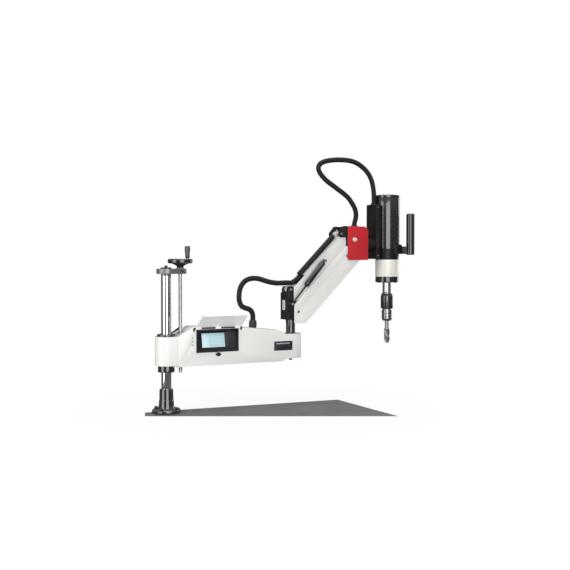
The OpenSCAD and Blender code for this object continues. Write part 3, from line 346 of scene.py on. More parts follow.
def soft_box(name, place, target, width, height, power):
    """A rectangular area lamp at a place, turned to its target, not seen itself."""
    lamp = bpy.data.lights.new(name, "AREA")
    lamp.shape = "RECTANGLE"
    lamp.size, lamp.size_y, lamp.energy = width, height, power
    box = bpy.data.objects.new(name, lamp)
    box.location = place
    way = Vector(target) - Vector(place)
    box.rotation_euler = way.to_track_quat("-Z", "Y").to_euler()
    box.visible_camera = False
    bpy.context.collection.objects.link(box)


soft_box("box_left", (-1.46, -0.45, 0.7), (0.7, 0, 0.5), 1.0, 2.3, 19)
soft_box("box_front", (0.02, -2.25, 0.7), (0.7, 0, 0.5), 1.5, 2.3, 32)
soft_box("box_far", (2.6, 0.45, 0.8), (0.8, 0, 0.6), 0.5, 1.8, 8)
soft_box("box_over", (0.4, -0.5, 2.6), (0.5, 0, 0.5), 2.2, 1.6, 16)

bpy.ops.object.select_all(action="DESELECT")
SWEEP_Z, BENCH_Z = -0.0006, -0.0003
bpy.ops.mesh.primitive_plane_add(size=60, location=(0, 0, SWEEP_Z))
sweep = bpy.context.object
sweep.name = "sweep"
sweep.visible_glossy = False
sweep_paper = bpy.data.materials.new("sweep_paper")
sweep_paper.use_nodes = True
tree = sweep_paper.node_tree
paper = tree.nodes["Principled BSDF"]
paper.inputs["Base Color"].default_value = (0.9, 0.9, 0.9, 1)
paper.inputs["Roughness"].default_value = 0.95
paper.inputs["Specular IOR Level"].default_value = 0
rays = tree.nodes.new("ShaderNodeLightPath")
lit = add_node(tree, "ShaderNodeEmission", {"Color": (1, 1, 1, 1), "Strength": WHITE_OUT})
# the paper fades to plain white away from the machine's foot
from_foot = add_node(tree, "ShaderNodeVectorMath", {
    0: tree.nodes.new("ShaderNodeTexCoord").outputs["Object"], 1: (0.35, -0.1, 0.0)},
    operation="DISTANCE")
fade = add_node(tree, "ShaderNodeMapRange", {
    "Value": from_foot.outputs["Value"], "From Min": 0.2, "From Max": 0.9,
    "To Min": 0.9, "To Max": 1.0})
show = add_node(tree, "ShaderNodeMath", {
    0: rays.outputs["Is Camera Ray"], 1: fade.outputs["Result"]}, operation="MULTIPLY")
paper_mix = add_node(tree, "ShaderNodeMixShader", {0: show.outputs[0]})
tree.links.new(paper.outputs[0], paper_mix.inputs[1])
tree.links.new(lit.outputs[0], paper_mix.inputs[2])
tree.links.new(paper_mix.outputs[0], tree.nodes["Material Output"].inputs["Surface"])
sweep.data.materials.append(sweep_paper)

BENCH_CORNERS = [(-0.103, -0.042), (0.783, -0.493), (0.780, -0.028), (0.082, 0.037),
                 (-0.077, 0.039)]
bench_data = bpy.data.meshes.new("bench_top")
bench_data.from_pydata([(x, y, BENCH_Z) for x, y in BENCH_CORNERS], [], [(0, 1, 2, 3, 4)])
bench = bpy.data.objects.new("bench_top", bench_data)
bpy.context.collection.objects.link(bench)
bench.data.materials.append(coated(
    "bench_grey", (0.195, 0.195, 0.192), 0.55, 0.1, 300, 0.00005, shade=0.82,
    smudge_scale=6))

# ---------------------------------------------------------------- base flange
# The cast foot of the column: a round flange with a flared socket, painted
# gloss black, held to the bench by four cap screws.
body_of = {}
for body_name, node_names in frame["record"]["behaviour"]["bodies"].items():
    for node_name in node_names:
        body_of[node_name] = body_name
SMOOTH_UNDER = math.radians(30)
WELD = 0.000005


def select_only(piece):
    bpy.ops.object.select_all(action="DESELECT")
    bpy.context.view_layer.objects.active = piece
    piece.select_set(True)


def apply_bevel(piece, width, rings=2, angle=35):
    """Breaks the sharp edges as a deburred or painted edge has them."""
    select_only(piece)
    edge = piece.modifiers.new("edges", "BEVEL")
    edge.width, edge.segments = width, rings
    edge.limit_method, edge.angle_limit = "ANGLE", math.radians(angle)
    edge.miter_outer = "MITER_ARC"
    bpy.ops.object.modifier_apply(modifier="edges")
    bpy.ops.object.shade_smooth_by_angle(angle=SMOOTH_UNDER)


def dressed(node, finish, width=0.0006, rings=2, merged=0.5):
    """A copy of the solid with its facets merged and its edges broken, in its finish."""
    source = frame["nodes"][node]
    piece = bpy.data.objects.new(node + "_skin", source.data.copy())
    bpy.context.collection.objects.link(piece)
    select_only(piece)
    bpy.ops.object.mode_set(mode="EDIT")
    bpy.ops.mesh.select_all(action="SELECT")
    bpy.ops.mesh.remove_doubles(threshold=WELD)
    if merged:
        bpy.ops.mesh.dissolve_limited(angle_limit=math.radians(merged))
    bpy.ops.object.mode_set(mode="OBJECT")
    if width:
        apply_bevel(piece, width, rings)
    else:
        bpy.ops.object.shade_smooth_by_angle(angle=SMOOTH_UNDER)
    finish_piece(piece, finish, node)
    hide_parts(node)
    return piece


def finish_piece(piece, finish, node):
    """Gives a piece its material, and the body of the node it belongs to."""
    piece.data.materials.clear()
    piece.data.materials.append(finish)
    for face in piece.data.polygons:
        face.material_index = 0
    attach(piece, body_of[node])


def pick_faces(piece, test):
    """Selects the faces whose centre and normal pass the test, for the next operator."""
    mesh = bmesh.from_edit_mesh(piece.data)
    for part in (mesh.verts, mesh.edges, mesh.faces):
        for item in part:
            item.select = False
    for face in mesh.faces:
        if test(face.calc_center_median(), face.normal):
            face.select_set(True)
    bmesh.update_edit_mesh(piece.data)


SCREW_SIDES = 32
SOCKET_DEPTH = 0.55


def cap_screw(name, place, way, radius, height, socket):
    """A cap screw's head with its hexagon socket, standing on place along way."""
    bpy.ops.object.select_all(action="DESELECT")
    bpy.ops.mesh.primitive_cylinder_add(vertices=SCREW_SIDES, radius=radius, depth=height,
                                        location=(0, 0, height / 2))
    head = bpy.context.object
    head.name = name
    bpy.ops.object.transform_apply()
    bpy.ops.object.mode_set(mode="EDIT")
    pick_faces(head, lambda c, n: n.z < -0.9)
    bpy.ops.mesh.delete(type="FACE")
    pick_faces(head, lambda c, n: n.z > 0.9)
    bpy.ops.mesh.delete(type="FACE")
    # crown from the rim in to a six-sided socket with its floor
    mesh = bmesh.from_edit_mesh(head.data)
    rim = sorted((v for v in mesh.verts if v.co.z > height / 2),
                 key=lambda v: math.atan2(v.co.y, v.co.x))
    hexagon = []
    for v in rim:
        a = math.atan2(v.co.y, v.co.x)
        flat = math.cos(math.pi / 6) / math.cos((a % (math.pi / 3)) - math.pi / 6)
        out = radius * socket * flat
        hexagon.append((math.cos(a) * out, math.sin(a) * out))
    lip = [mesh.verts.new((x, y, height)) for x, y in hexagon]
    floor = [mesh.verts.new((x, y, height * (1 - SOCKET_DEPTH))) for x, y in hexagon]
    count = len(rim)
    for i in range(count):
        j = (i + 1) % count
        mesh.faces.new((rim[i], rim[j], lip[j], lip[i]))
        mesh.faces.new((lip[i], lip[j], floor[j], floor[i]))
    mesh.faces.new(floor)
    foot = sorted((v for v in mesh.verts if v.co.z < 1e-6),
                  key=lambda v: -math.atan2(v.co.y, v.co.x))
    mesh.faces.new(foot)
    bmesh.ops.recalc_face_normals(mesh, faces=mesh.faces)
    bmesh.update_edit_mesh(head.data)
    bpy.ops.object.mode_set(mode="OBJECT")
    apply_bevel(head, radius * 0.09, 2, 50)
    turn = Vector(way).to_track_quat("Z", "Y").to_matrix().to_4x4()
    head.data.transform(Matrix.Translation(Vector(place)) @ turn)
    return head


def screw_set(name, places, way, radius, height, finish, node, socket=0.55):
    """Like screws, modelled once each and joined, on the node's body."""
    heads = [cap_screw(f"{name}_{i}", place, way, radius, height, socket)
             for i, place in enumerate(places)]
    bpy.ops.object.select_all(action="DESELECT")
    for head in heads:
        head.select_set(True)
    bpy.context.view_layer.objects.active = heads[0]
    if len(heads) > 1:
        bpy.ops.object.join()
    heads[0].name = name
    finish_piece(heads[0], finish, node)
    return heads[0]


base_black = coated("base_black", (0.012, 0.012, 0.013), 0.12, 0.12, 420, 0.00001,
                    rubbed=(0.16, 0.16, 0.165), rub=0.35, coat=0.9, coat_ior=1.8, shade=1.6)
screw_black = coated("screw_black", (0.03, 0.03, 0.032), 0.34, 0.16, 900, 0.00002,
                     rubbed=(0.3, 0.3, 0.31), rub=0.8, metallic=0.6, shade=1.3)
# merged finely, as a coarser merge shows facets in the gloss of the flare
dressed("base_flange", base_black, 0.0012, 3, merged=0.05)


def ring_of(count, radius, z, first=0.0, x=0.0):
    """Places evenly spaced on an upright axis's circle."""
    return [(x + radius * math.cos(a), radius * math.sin(a), z)
            for a in (first + i * 2 * math.pi / count for i in range(count))]


BASE_PCD = 0.092
FLANGE_TOP = 0.0153
screw_set("base_screws", ring_of(4, BASE_PCD / 2, FLANGE_TOP, math.pi / 4),
          (0, 0, 1), 0.0066, 0.0078, screw_black, "base_flange")

# ---------------------------------------------------------------- column
# A ground steel tube, hard chromed and polished, with its washer and hexagon
# screw on top.


def turned_marks_group():
    """Lathe and grinding marks: thin rings across the axis, with faint long streaks."""
    tree, given, out = new_group(
        "turned_marks", {"Ring Scale": 900.0, "Streak Scale": 60.0}, ("Rings", "Streaks"))
    place = add_node(tree, "ShaderNodeTexCoord").outputs["Object"]
    rings_at = add_node(tree, "ShaderNodeVectorMath",
                        {0: place, 1: (0.02, 0.02, 1.0)}, operation="MULTIPLY")
    rings = add_node(tree, "ShaderNodeTexNoise", {
        "Vector": rings_at.outputs[0], "Scale": given.outputs["Ring Scale"], "Detail": 3.0})
    streaks_at = add_node(tree, "ShaderNodeVectorMath",
                          {0: place, 1: (1.0, 1.0, 0.06)}, operation="MULTIPLY")
    streaks = add_node(tree, "ShaderNodeTexNoise", {
        "Vector": streaks_at.outputs[0], "Scale": given.outputs["Streak Scale"],
        "Detail": 5.0, "Roughness": 0.6})
    tree.links.new(rings.outputs["Fac"], out.inputs["Rings"])
    tree.links.new(streaks.outputs["Fac"], out.inputs["Streaks"])
    return tree


TURNED_MARKS = turned_marks_group()


def bare_metal(name, colour, rough, spread, ring_depth, ring_scale=900.0, streak_scale=60.0,
               dark=0.8, rubbed=None, rub=0.5, metallic=1.0):
    """Turned, ground or plated metal with its rings and its handled gloss."""
    made = bpy.data.materials.new(name)
    made.use_nodes = True
    tree = made.node_tree
    shader = tree.nodes["Principled BSDF"]
    marks = use_group(tree, TURNED_MARKS, Ring_Scale=ring_scale, Streak_Scale=streak_scale)
    smear = add_node(tree, "ShaderNodeMapRange", {
        "Value": marks.outputs["Streaks"], "From Min": 0.35, "From Max": 0.7})
    tone = blended_colour(tree, smear.outputs["Result"], colour, [c * dark for c in colour])
    if rubbed:
        tone = rubbed_tone(tree, tone, rubbed, rub)
    tree.links.new(tone, shader.inputs["Base Color"])
    gloss = add_node(tree, "ShaderNodeMapRange", {
        "Value": smear.outputs["Result"], "To Min": rough, "To Max": rough + spread})
    tree.links.new(gloss.outputs["Result"], shader.inputs["Roughness"])
    bump = add_node(tree, "ShaderNodeBump", {
        "Height": marks.outputs["Rings"], "Strength": 1.0, "Distance": ring_depth})
    tree.links.new(bump.outputs["Normal"], shader.inputs["Normal"])
    shader.inputs["Metallic"].default_value = metallic
    return made


column_chrome = bare_metal("column_chrome", (0.72, 0.73, 0.745), 0.07, 0.07, 0.000004,
                           dark=0.92)
bright_steel = bare_metal("bright_steel", (0.62, 0.62, 0.635), 0.22, 0.14, 0.00002,
                          dark=0.82)
blackened_steel = bare_metal("blackened_steel", (0.07, 0.07, 0.075), 0.24, 0.16, 0.00002,
                             dark=0.7, rub=0.7, rubbed=(0.4, 0.4, 0.41))
dressed("column_tube", column_chrome, 0.0005)
dressed("column_cap", blackened_steel, 0.0006)

# ---------------------------------------------------------------- yoke and lead screw
# A grey machined plate across the top of the column carries the lead screw in
# a bronze bearing. The screw has a trapezoidal thread between two plain ends.
yoke_grey = bare_metal("yoke_grey", (0.27, 0.275, 0.285), 0.38, 0.14, 0.00003, 260, 30,
                       dark=0.78, rub=0.6, rubbed=(0.6, 0.6, 0.61), metallic=0.75)
bronze = bare_metal("bronze", (0.52, 0.36, 0.15), 0.3, 0.15, 0.00002, dark=0.75)
dressed("top_yoke", yoke_grey, 0.0012, 3)
dressed("screw_bearing", bronze, 0.0004)
SCREW_X = 0.060
YOKE_SIDE, YOKE_MID_Z = 0.0242, 0.5665
for name, side in (("yoke_screws", -1), ("yoke_screws_rear", 1)):
    screw_set(name, [(SCREW_X, side * YOKE_SIDE, YOKE_MID_Z)], (0, side, 0),
              0.0045, 0.0035, screw_black, "top_yoke")

THREAD_LOW, THREAD_HIGH = 0.166, 0.540
THREAD_PITCH = 0.005
THREAD_CREST, THREAD_ROOT = 0.00795, 0.0063
THREAD_SMOOTH_UNDER = math.radians(32)
SHOULDER_R, JOURNAL_R = 0.0079, 0.0059
SHOULDER_TOP, JOURNAL_FOOT = 0.5554, 0.5556


def lead_screw_thread():
    """One tooth's profile, swept up the screw by a screw modifier."""
    half = THREAD_PITCH / 2
    flanks = [(THREAD_ROOT, 0), (THREAD_ROOT, half * 0.62), (THREAD_CREST, half * 0.95),
              (THREAD_CREST, half * 1.62), (THREAD_ROOT, THREAD_PITCH)]
    data = bpy.data.meshes.new("lead_screw_thread")
    data.from_pydata([(r, 0, z) for r, z in flanks], [(i, i + 1) for i in range(4)], [])
    piece = bpy.data.objects.new("lead_screw_thread", data)
    bpy.context.collection.objects.link(piece)
    select_only(piece)
    sweep_up = piece.modifiers.new("thread", "SCREW")
    sweep_up.screw_offset = THREAD_PITCH
    sweep_up.iterations = round((THREAD_HIGH - THREAD_LOW) / THREAD_PITCH)
    sweep_up.steps = sweep_up.render_steps = 24
    sweep_up.use_merge_vertices = True
    sweep_up.merge_threshold = 0.00002
    bpy.ops.object.modifier_apply(modifier="thread")
    piece.data.transform(Matrix.Translation((SCREW_X, 0, THREAD_LOW)))
    return piece


TURNED_STEPS = 48


def turned_piece(name, outline, x):
    """An outline of radius and height spun about the upright axis at x."""
    data = bpy.data.meshes.new(name)
    data.from_pydata([(r, 0, z) for r, z in outline],
                     [(i, i + 1) for i in range(len(outline) - 1)], [])
    piece = bpy.data.objects.new(name, data)
    bpy.context.collection.objects.link(piece)
    select_only(piece)
    bpy.ops.object.mode_set(mode="EDIT")
    bpy.ops.mesh.select_all(action="SELECT")
    bpy.ops.mesh.spin(steps=TURNED_STEPS, angle=2 * math.pi, center=(0, 0, 0),
                      axis=(0, 0, 1))
    bpy.ops.mesh.select_all(action="SELECT")
    bpy.ops.mesh.remove_doubles(threshold=0.000002)
    bpy.ops.mesh.normals_make_consistent(inside=False)
    bpy.ops.object.mode_set(mode="OBJECT")
    bpy.ops.object.shade_smooth_by_angle(angle=SMOOTH_UNDER)
    piece.data.transform(Matrix.Translation((x, 0, 0)))
    return piece


screw_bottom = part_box("lead_screw")[0][2]
screw_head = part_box("lead_screw")[1][2]
shank = turned_piece("lead_screw_turned", [
    (0, screw_bottom), (0.0058, screw_bottom), (THREAD_ROOT, screw_bottom + 0.0008),
    (THREAD_ROOT, THREAD_HIGH + 0.004), (SHOULDER_R, THREAD_HIGH + 0.0056),
    (SHOULDER_R, SHOULDER_TOP), (JOURNAL_R, JOURNAL_FOOT),
    (JOURNAL_R, screw_head - 0.0008), (0.0052, screw_head), (0, screw_head)], SCREW_X)
thread = lead_screw_thread()
bpy.ops.object.select_all(action="DESELECT")
thread.select_set(True)
shank.select_set(True)
bpy.context.view_layer.objects.active = shank
bpy.ops.object.join()
bpy.ops.object.shade_smooth_by_angle(angle=THREAD_SMOOTH_UNDER)
finish_piece(shank, bright_steel, "lead_screw")
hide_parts("lead_screw")

# ---------------------------------------------------------------- handwheel and crank
# A dished wheel moulded in gloss black, with a turned grip that spins on its
# shouldered pin.
gloss_black = coated("gloss_black", (0.010, 0.010, 0.011), 0.12, 0.14, 500, 0.00001,
                     rubbed=(0.1, 0.1, 0.1), rub=0.3, coat=0.8, coat_ior=1.7, shade=1.6)
satin_black = coated("satin_black", (0.010, 0.010, 0.0105), 0.34, 0.14, 800, 0.00003,
                     rubbed=(0.07, 0.07, 0.07), rub=0.4, specular=0.35, shade=1.5)
dressed("handwheel", gloss_black, 0.0010, 3)
dressed("crank_pin", bright_steel, 0.0004)
dressed("crank_grip", gloss_black, 0.0008, 3)

# ---------------------------------------------------------------- carriage
# The clamped slide on the column, in the same white enamel as the box, with
# black flanged bushes, a bronze lift nut and a cranked lever that locks it.
white_enamel = coated("white_enamel", (0.80, 0.79, 0.765), 0.30, 0.14, 380, 0.00005,
                      rubbed=(0.62, 0.61, 0.59), rub=0.25, coat=0.15, shade=0.965)
dressed("column_carriage", white_enamel, 0.0014, 3)
dressed("upper_bush", base_black, 0.0008)
dressed("lower_collar", base_black, 0.0008)
dressed("lift_nut", bronze, 0.0004)
dressed("lock_lever", gloss_black, 0.0008, 3)
clamp_way = Vector((math.cos(math.radians(-60)), math.sin(math.radians(-60)), 0))
COLLAR_R, COLLAR_MID_Z = 0.0336, 0.1765
screw_set("collar_screws", [clamp_way * COLLAR_R + Vector((0, 0, COLLAR_MID_Z))],
          clamp_way, 0.0046, 0.003, screw_black, "lower_collar")
BUSH_PCR, BUSH_TOP = 0.0315, 0.3141
screw_set("bush_screws",
          [(BUSH_PCR * math.cos(a), BUSH_PCR * math.sin(a), BUSH_TOP)
           for a in (math.radians(d) for d in (-150, -90, -20, 110, 180))],
          (0, 0, 1), 0.0032, 0.003, screw_black, "upper_bush")

# ---------------------------------------------------------------- control box
# The arm itself: a welded box of folded sheet in textured white enamel, with
# a boss for the post at its outer end and a screwed sheet over its back.
dressed("control_box", white_enamel, 0.0016, 3)
dressed("box_back_cover", white_enamel, 0.0005)
BOX_SIDE = 0.0450
screw_set("back_cover_screws",
          [(x, BOX_SIDE + 0.0001, 0.196) for x in (0.052, 0.370, 0.494)], (0, 1, 0),
          0.0030, 0.0018, bright_steel, "box_back_cover")


def flat_plate(name, centre, size, thick, rounding, across=(1, 0, 0), up=(0, 0, 1)):
    """A thin plate with rounded corners, its back on centre, spanned by across and up."""
    bpy.ops.object.select_all(action="DESELECT")
    bpy.ops.mesh.primitive_cube_add(size=1)
    piece = bpy.context.object
    piece.name = name
    piece.data.transform(Matrix.Diagonal((size[0], size[1], thick, 1)))
    piece.data.transform(Matrix.Translation((0, 0, thick / 2)))
    bpy.ops.object.mode_set(mode="EDIT")
    mesh = bmesh.from_edit_mesh(piece.data)
    for edge in mesh.edges:
        edge.select_set(abs(edge.verts[0].co.z - edge.verts[1].co.z) > thick / 2)
    bmesh.update_edit_mesh(piece.data)
    bpy.ops.mesh.bevel(offset=rounding, segments=6)
    bpy.ops.object.mode_set(mode="OBJECT")
    apply_bevel(piece, min(thick, rounding) * 0.3, 2, 50)
    x, y = Vector(across).normalized(), Vector(up).normalized()
    z = x.cross(y)
    turn = Matrix((x, y, z)).transposed().to_4x4()
    piece.data.transform(Matrix.Translation(Vector(centre)) @ turn)
    return piece


plate_black = coated("plate_black", (0.016, 0.017, 0.02), 0.22, 0.1, 600, 0.00001, coat=0.3,
                     shade=1.5)
plate_white = coated("plate_white", (0.72, 0.72, 0.71), 0.35, 0.1, 500, 0.00001, shade=0.95)
plate_silver = coated("plate_silver", (0.5, 0.5, 0.51), 0.35, 0.1, 500, 0.00001,
                      metallic=0.3)
PLATE_X, PLATE_Z = 0.503, 0.2505
PLATE_FACE = -BOX_SIDE - 0.0009
bare_plate = flat_plate("bare_plate", (PLATE_X, -BOX_SIDE, PLATE_Z), (0.087, 0.039),
                        0.0010, 0.003)
finish_piece(bare_plate, plate_black, "control_box")
plate_field = flat_plate("bare_plate_field", (PLATE_X, PLATE_FACE, PLATE_Z + 0.010),
                         (0.062, 0.005), 0.0004, 0.001)
finish_piece(plate_field, plate_silver, "control_box")
screw_set("bare_plate_pins", [(PLATE_X + sx * 0.0395, PLATE_FACE, PLATE_Z + sz * 0.0155)
                              for sx in (-1, 1) for sz in (-1, 1)],
          (0, -1, 0), 0.0014, 0.0009, bright_steel, "control_box", 0.4)

# ---------------------------------------------------------------- screen
# A touch screen sunk in a black moulded bezel and leaning back, with plain
# blue panels lit behind its glass.


def screen_material():
    """Pale blue lit glass: rows of plain panels in two tones, with lighter gaps."""
    made = bpy.data.materials.new("screen_glass")
    made.use_nodes = True
    tree = made.node_tree
    shader = tree.nodes["Principled BSDF"]
    place = add_node(tree, "ShaderNodeTexCoord").outputs["Object"]
    rows = add_node(tree, "ShaderNodeTexBrick", {
        "Vector": add_node(tree, "ShaderNodeMapping", {
            "Vector": place, "Rotation": (math.radians(90), 0, 0),
            "Location": (0.0, 0.287, 0.0)}).outputs[0],
        "Color1": (0.36, 0.56, 0.61, 1), "Color2": (0.44, 0.61, 0.66, 1),
        "Mortar": (0.50, 0.64, 0.68, 1), "Scale": 1.0, "Mortar Size": 0.0012,
        "Mortar Smooth": 0.3, "Brick Width": 0.031, "Row Height": 0.0145}, offset=0.0)
    tree.links.new(rows.outputs["Color"], shader.inputs["Base Color"])
    tree.links.new(rows.outputs["Color"], shader.inputs["Emission Color"])
    shader.inputs["Emission Strength"].default_value = 0.22
    marks = use_group(tree, MOTTLE, Smudge_Scale=40, Skin_Scale=500)
    gloss = add_node(tree, "ShaderNodeMapRange", {
        "Value": marks.outputs["Smudge"], "To Min": 0.08, "To Max": 0.2})
    tree.links.new(gloss.outputs["Result"], shader.inputs["Roughness"])
    shader.inputs["Coat Weight"].default_value = 0.5
    return made


bezel_black = coated("bezel_black", (0.009, 0.009, 0.013), 0.28, 0.14, 900, 0.00003,
                     shade=1.5, specular=0.3)
lid_white = coated("lid_white", (0.93, 0.93, 0.92), 0.33, 0.12, 600, 0.00003, shade=0.97)
dressed("hmi_bezel", bezel_black, 0.0006, merged=0)
dressed("lcd_screen", screen_material(), 0.0003)
dressed("window_lid", lid_white, 0.0008)
dressed("lid_hinge_rod", satin_black, 0.0006)
dressed("lid_latch", satin_black, 0.0008)

# ---------------------------------------------------------------- indicator lamps
# Three small round lamps beside the screen: nickelled rings with grey lenses,
# not lit.
lens_grey = coated("lens_grey", (0.36, 0.37, 0.38), 0.1, 0.08, 900, 0.00001, coat=0.8)
dressed("indicator_lamps", bright_steel, 0.0004)
LAMP_X, LAMP_FACE = 0.095, -0.0466
for i, z in enumerate((0.300, 0.285, 0.270)):
    bpy.ops.object.select_all(action="DESELECT")
    bpy.ops.mesh.primitive_uv_sphere_add(segments=24, ring_count=16, radius=0.0029)
    lens = bpy.context.object
    lens.name = f"lamp_lens_{i + 1}"
    lens.data.transform(Matrix.Diagonal((1, 0.55, 1, 1)))
    lens.data.transform(Matrix.Translation((LAMP_X, LAMP_FACE, z)))
    bpy.ops.object.shade_smooth()
    finish_piece(lens, lens_grey, "indicator_lamps")

# ---------------------------------------------------------------- gland and drive
# The conduit's gland nut screws into the top of the box. The servo drive
# stands on the floor inside.
gland_grey = coated("gland_grey", (0.020, 0.020, 0.022), 0.3, 0.15, 800, 0.00003, shade=1.4,
                    rubbed=(0.2, 0.2, 0.2), rub=0.5)
dressed("hose_gland", gland_grey, 0.0009, 3)
dressed("servo_drive", satin_black, 0.0006)

# ---------------------------------------------------------------- post and swivel block
# A black post stands in the boss. The cast block turns on it in two bronze
# bushes and carries the rear pivots of both links.
cast_black = coated("cast_black", (0.008, 0.0075, 0.008), 0.34, 0.16, 300, 0.00005,
                    rubbed=(0.10, 0.10, 0.105), rub=0.4, specular=0.3, shade=1.5)
dressed("swivel_post", base_black, 0.0004)
dressed("post_bolt", blackened_steel, 0.0006)
dressed("swivel_block", cast_black, 0.0012, 3)
dressed("swivel_bushes", bronze, 0.0004)
dressed("rear_link_pins", bright_steel, 0.0005)
BLOCK_FACE = 0.5300
block_label = flat_plate("bare_label", (BLOCK_FACE, 0.004, 0.420), (0.026, 0.042),
                         0.0005, 0.002, across=(0, -1, 0), up=(0, 0, 1))
finish_piece(block_label, plate_white, "swivel_block")
screw_set("block_screws",
          [(BLOCK_FACE - 0.0001, sy * 0.026, z) for sy in (-1, 1) for z in (0.366, 0.466)],
          (-1, 0, 0), 0.0032, 0.0026, screw_black, "swivel_block")

# ---------------------------------------------------------------- links
# Two folded channels nested in each other: the upper one open downwards, the
# lower one open upwards round it, and a black duct for the wires on top.
duct_black = coated("duct_black", (0.010, 0.010, 0.011), 0.36, 0.14, 700, 0.00004,
                    rubbed=(0.07, 0.07, 0.07), rub=0.4, specular=0.28, shade=1.5)
link_white = coated("link_white", (0.70, 0.695, 0.67), 0.33, 0.14, 420, 0.00005,
                    rubbed=(0.6, 0.6, 0.58), rub=0.2, coat=0.1, shade=0.96)
dressed("upper_link", link_white, 0.0006)
dressed("lower_link", white_enamel, 0.0007)
dressed("cable_duct", duct_black, 0.0012, 3)

# ---------------------------------------------------------------- gas spring
# A black pressure tube and its rod on two ball studs with bright shanks.
spring_black = coated("spring_black", (0.010, 0.010, 0.012), 0.14, 0.1, 500, 0.00002,
                      coat=0.5, shade=1.6)
dressed("gas_cylinder", spring_black, 0.0008, 3)
dressed("gas_rod", blackened_steel, 0.0005)
dressed("spring_foot_stud", bright_steel, 0.0006)
dressed("spring_head_stud", bright_steel, 0.0006)

# ---------------------------------------------------------------- head bracket
# A black alloy casting between the links' front pivots, under a folded red
# cover, with the hub that the motor rolls in.
red_enamel = coated("red_enamel", (0.56, 0.018, 0.026), 0.26, 0.12, 420, 0.00004,
                    rubbed=(0.4, 0.05, 0.05), rub=0.3, coat=0.3, shade=0.9)
dressed("head_bracket", cast_black, 0.0012, 3)
dressed("head_cover", red_enamel, 0.0016, 3)
dressed("head_gland", gland_grey, 0.0008)
dressed("front_link_pins", bright_steel, 0.0005)
dressed("roll_shaft", bright_steel, 0.0005)
bpy.ops.object.select_all(action="DESELECT")
bpy.ops.mesh.primitive_cylinder_add(vertices=48, radius=1, depth=1)
cover_mark = bpy.context.object
cover_mark.name = "bare_oval"
cover_mark.data.transform(Matrix.Diagonal((0.0115, 0.0085, 0.0006, 1)))
cover_mark.data.transform(Matrix.Rotation(math.radians(90), 4, "X"))
COVER_SIDE = -0.0491
cover_mark.data.transform(Matrix.Translation((0.8545, COVER_SIDE - 0.0002, 0.7040)))
apply_bevel(cover_mark, 0.0002, 2, 50)
finish_piece(cover_mark, plate_white, "head_cover")
screw_set("cover_screws",
          [(x, COVER_SIDE, z) for x, z in ((0.8285, 0.6235), (0.9145, 0.6235),
                                           (0.8285, 0.7525), (0.9145, 0.7385))],
          (0, -1, 0), 0.0026, 0.0016, red_enamel, "head_cover")

# ---------------------------------------------------------------- motor head
# The back plate holds the motor's round cover, which ends in a tapered
# shoulder. Glossy black over turned alloy, with a cream ring below.
motor_black = coated("motor_black", (0.011, 0.011, 0.012), 0.17, 0.1, 380, 0.00001,
                     coat=0.9, coat_ior=1.75, shade=1.6, smudge_scale=9)
cream_enamel = coated("cream_enamel", (0.84, 0.815, 0.735), 0.24, 0.1, 420, 0.00003,
                      coat=0.4, shade=0.95)
dressed("motor_back_plate", cast_black, 0.0016, 3)
dressed("motor_cover", motor_black, 0.0006)
dressed("motor_cap", motor_black, 0.0012, 3)
dressed("servo_motor", satin_black, 0.0008)
dressed("gearbox", cast_black, 0.0012, 3)
dressed("spacer_ring", cream_enamel, 0.0008, 3)
dressed("bearing_ring", gloss_black, 0.0010, 3)
dressed("start_button", satin_black, 0.0006, 3)
dressed("reverse_button", satin_black, 0.0006, 3)
SPINDLE_X = 1.05596
BACK_PLATE_X, BACK_PLATE_SIDE = 0.9809, 0.0401
CAP_TOP, RING_FOOT = 0.9081, 0.5129
for name, side in (("plate_screws", -1), ("plate_screws_rear", 1)):
    screw_set(name, [(BACK_PLATE_X, side * BACK_PLATE_SIDE, z) for z in (0.634, 0.850)],
              (0, side, 0), 0.0034, 0.0022, bright_steel, "motor_back_plate")
screw_set("cap_screws", ring_of(6, 0.049, CAP_TOP, 0.4, SPINDLE_X),
          (0, 0, 1), 0.0028, 0.0016, screw_black, "motor_cap")
screw_set("ring_screws", ring_of(6, 0.042, RING_FOOT, 0.0, SPINDLE_X),
          (0, 0, -1), 0.0032, 0.0022, screw_black, "bearing_ring")

# ---------------------------------------------------------------- handle
# A straight moulded grip on a stem, on a cast arm from the band round the
# foot of the motor's cover.
grip_rubber = coated("grip_rubber", (0.012, 0.012, 0.013), 0.26, 0.12, 900, 0.00002,
                     coat=0.7, coat_ior=1.7, shade=1.5)
dressed("handle_bracket", cast_black, 0.0014, 3)
dressed("handle_grip", grip_rubber, 0.0012, 3)

# ---------------------------------------------------------------- spindle and chuck
# A ground spindle nose carries the quick-change chuck: a black sleeve over a
# body with a grooved cage for the tap.
sleeve_black = bare_metal("sleeve_black", (0.13, 0.13, 0.135), 0.12, 0.1, 0.00001, dark=0.8,
                          rub=0.5, rubbed=(0.5, 0.5, 0.5), metallic=0.9)
chuck_steel = bare_metal("chuck_steel", (0.44, 0.44, 0.45), 0.2, 0.12, 0.00002, dark=0.75,
                         rub=0.6, rubbed=(0.7, 0.7, 0.7))
dressed("spindle_shaft", column_chrome, 0.0006)
dressed("chuck_body", chuck_steel, 0.0004)
dressed("chuck_sleeve", sleeve_black, 0.0008, 3)

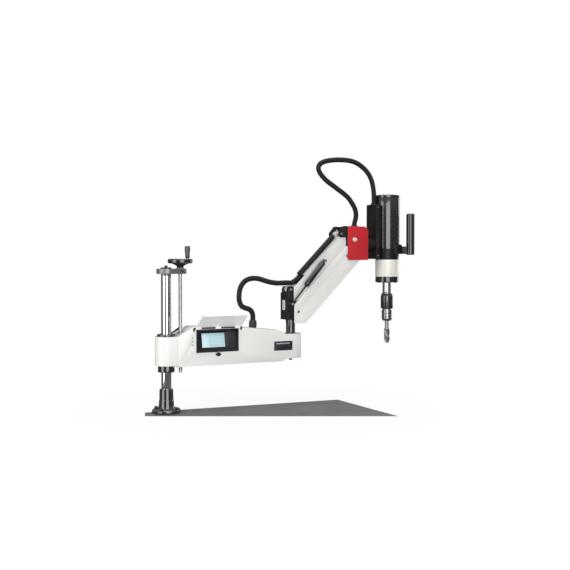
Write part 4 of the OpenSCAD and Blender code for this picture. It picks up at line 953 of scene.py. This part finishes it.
# ---------------------------------------------------------------- tap
# A machine tap of ground tool steel with four spiral flutes and its cutting
# thread.
TAP_TIP, TAP_TOP = 0.237, 0.300
TAP_R = 0.0135
TAP_PITCH = 0.003
TAP_TWIST = math.radians(150)
FLUTES = 4
LEAD_IN, LEAD_IN_DROP = 0.014, 0.005
TOOTH_DEPTH = 0.0011
FLUTE_FLOOR = 0.004
TAP_SMOOTH_UNDER = math.radians(28)
TAP_SHOULDER_R, TAP_SHANK_R = 0.0115, 0.009
tap_steel = bare_metal("tap_steel", (0.40, 0.39, 0.385), 0.26, 0.12, 0.00001, dark=0.8)


def tap_radius(angle, z):
    """Radius of the fluted, threaded body at an angle and height."""
    lead_in = min(1.0, (z - TAP_TIP) / LEAD_IN)
    crest = TAP_R - LEAD_IN_DROP * (1 - lead_in)
    phase = (z / TAP_PITCH + angle / (2 * math.pi)) % 1.0
    tooth = abs(phase * 2 - 1)
    threaded = crest - TOOTH_DEPTH * tooth
    turn = angle + TAP_TWIST * (z - TAP_TIP) / (TAP_TOP - TAP_TIP)
    share = (turn * FLUTES / (2 * math.pi)) % 1.0
    away = abs(share - 0.5) * 2 * math.pi / FLUTES
    # the flute's round floor, cut by a circle that stands outside the body
    centre, cutter = TAP_R + 0.0005, TAP_R * 0.55
    reach = centre * math.sin(away)
    if reach < cutter:
        floor = centre * math.cos(away) - math.sqrt(cutter ** 2 - reach ** 2)
        return min(threaded, max(floor, FLUTE_FLOOR))
    return threaded


def cutting_body():
    """A cylinder of fine rings whose points are moved to the tap's own surface."""
    around, along = 128, 150
    data = bpy.data.meshes.new("tap_body")
    points, faces = [], []
    for i in range(along + 1):
        z = TAP_TIP + (TAP_TOP - TAP_TIP) * i / along
        for k in range(around):
            a = 2 * math.pi * k / around
            r = tap_radius(a, z)
            points.append((SPINDLE_X + r * math.cos(a), r * math.sin(a), z))
    for i in range(along):
        for k in range(around):
            n = (k + 1) % around
            low, high = i * around, (i + 1) * around
            faces.append((low + k, low + n, high + n, high + k))
    faces.append(tuple(range(around - 1, -1, -1)))
    faces.append(tuple(along * around + k for k in range(around)))
    data.from_pydata(points, [], faces)
    piece = bpy.data.objects.new("tap_body", data)
    bpy.context.collection.objects.link(piece)
    return piece


body = cutting_body()
tap_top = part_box("tap")[1][2]
tap_shank = turned_piece("machine_tap", [
    (0, TAP_TOP - 0.001), (TAP_SHOULDER_R, TAP_TOP - 0.001), (TAP_SHOULDER_R, TAP_TOP + 0.001),
    (TAP_SHANK_R, TAP_TOP + 0.005), (TAP_SHANK_R, tap_top), (0, tap_top)], SPINDLE_X)
bpy.ops.object.select_all(action="DESELECT")
body.select_set(True)
tap_shank.select_set(True)
bpy.context.view_layer.objects.active = tap_shank
bpy.ops.object.join()
bpy.ops.object.shade_smooth_by_angle(angle=TAP_SMOOTH_UNDER)
finish_piece(tap_shank, tap_steel, "tap")
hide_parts("tap")
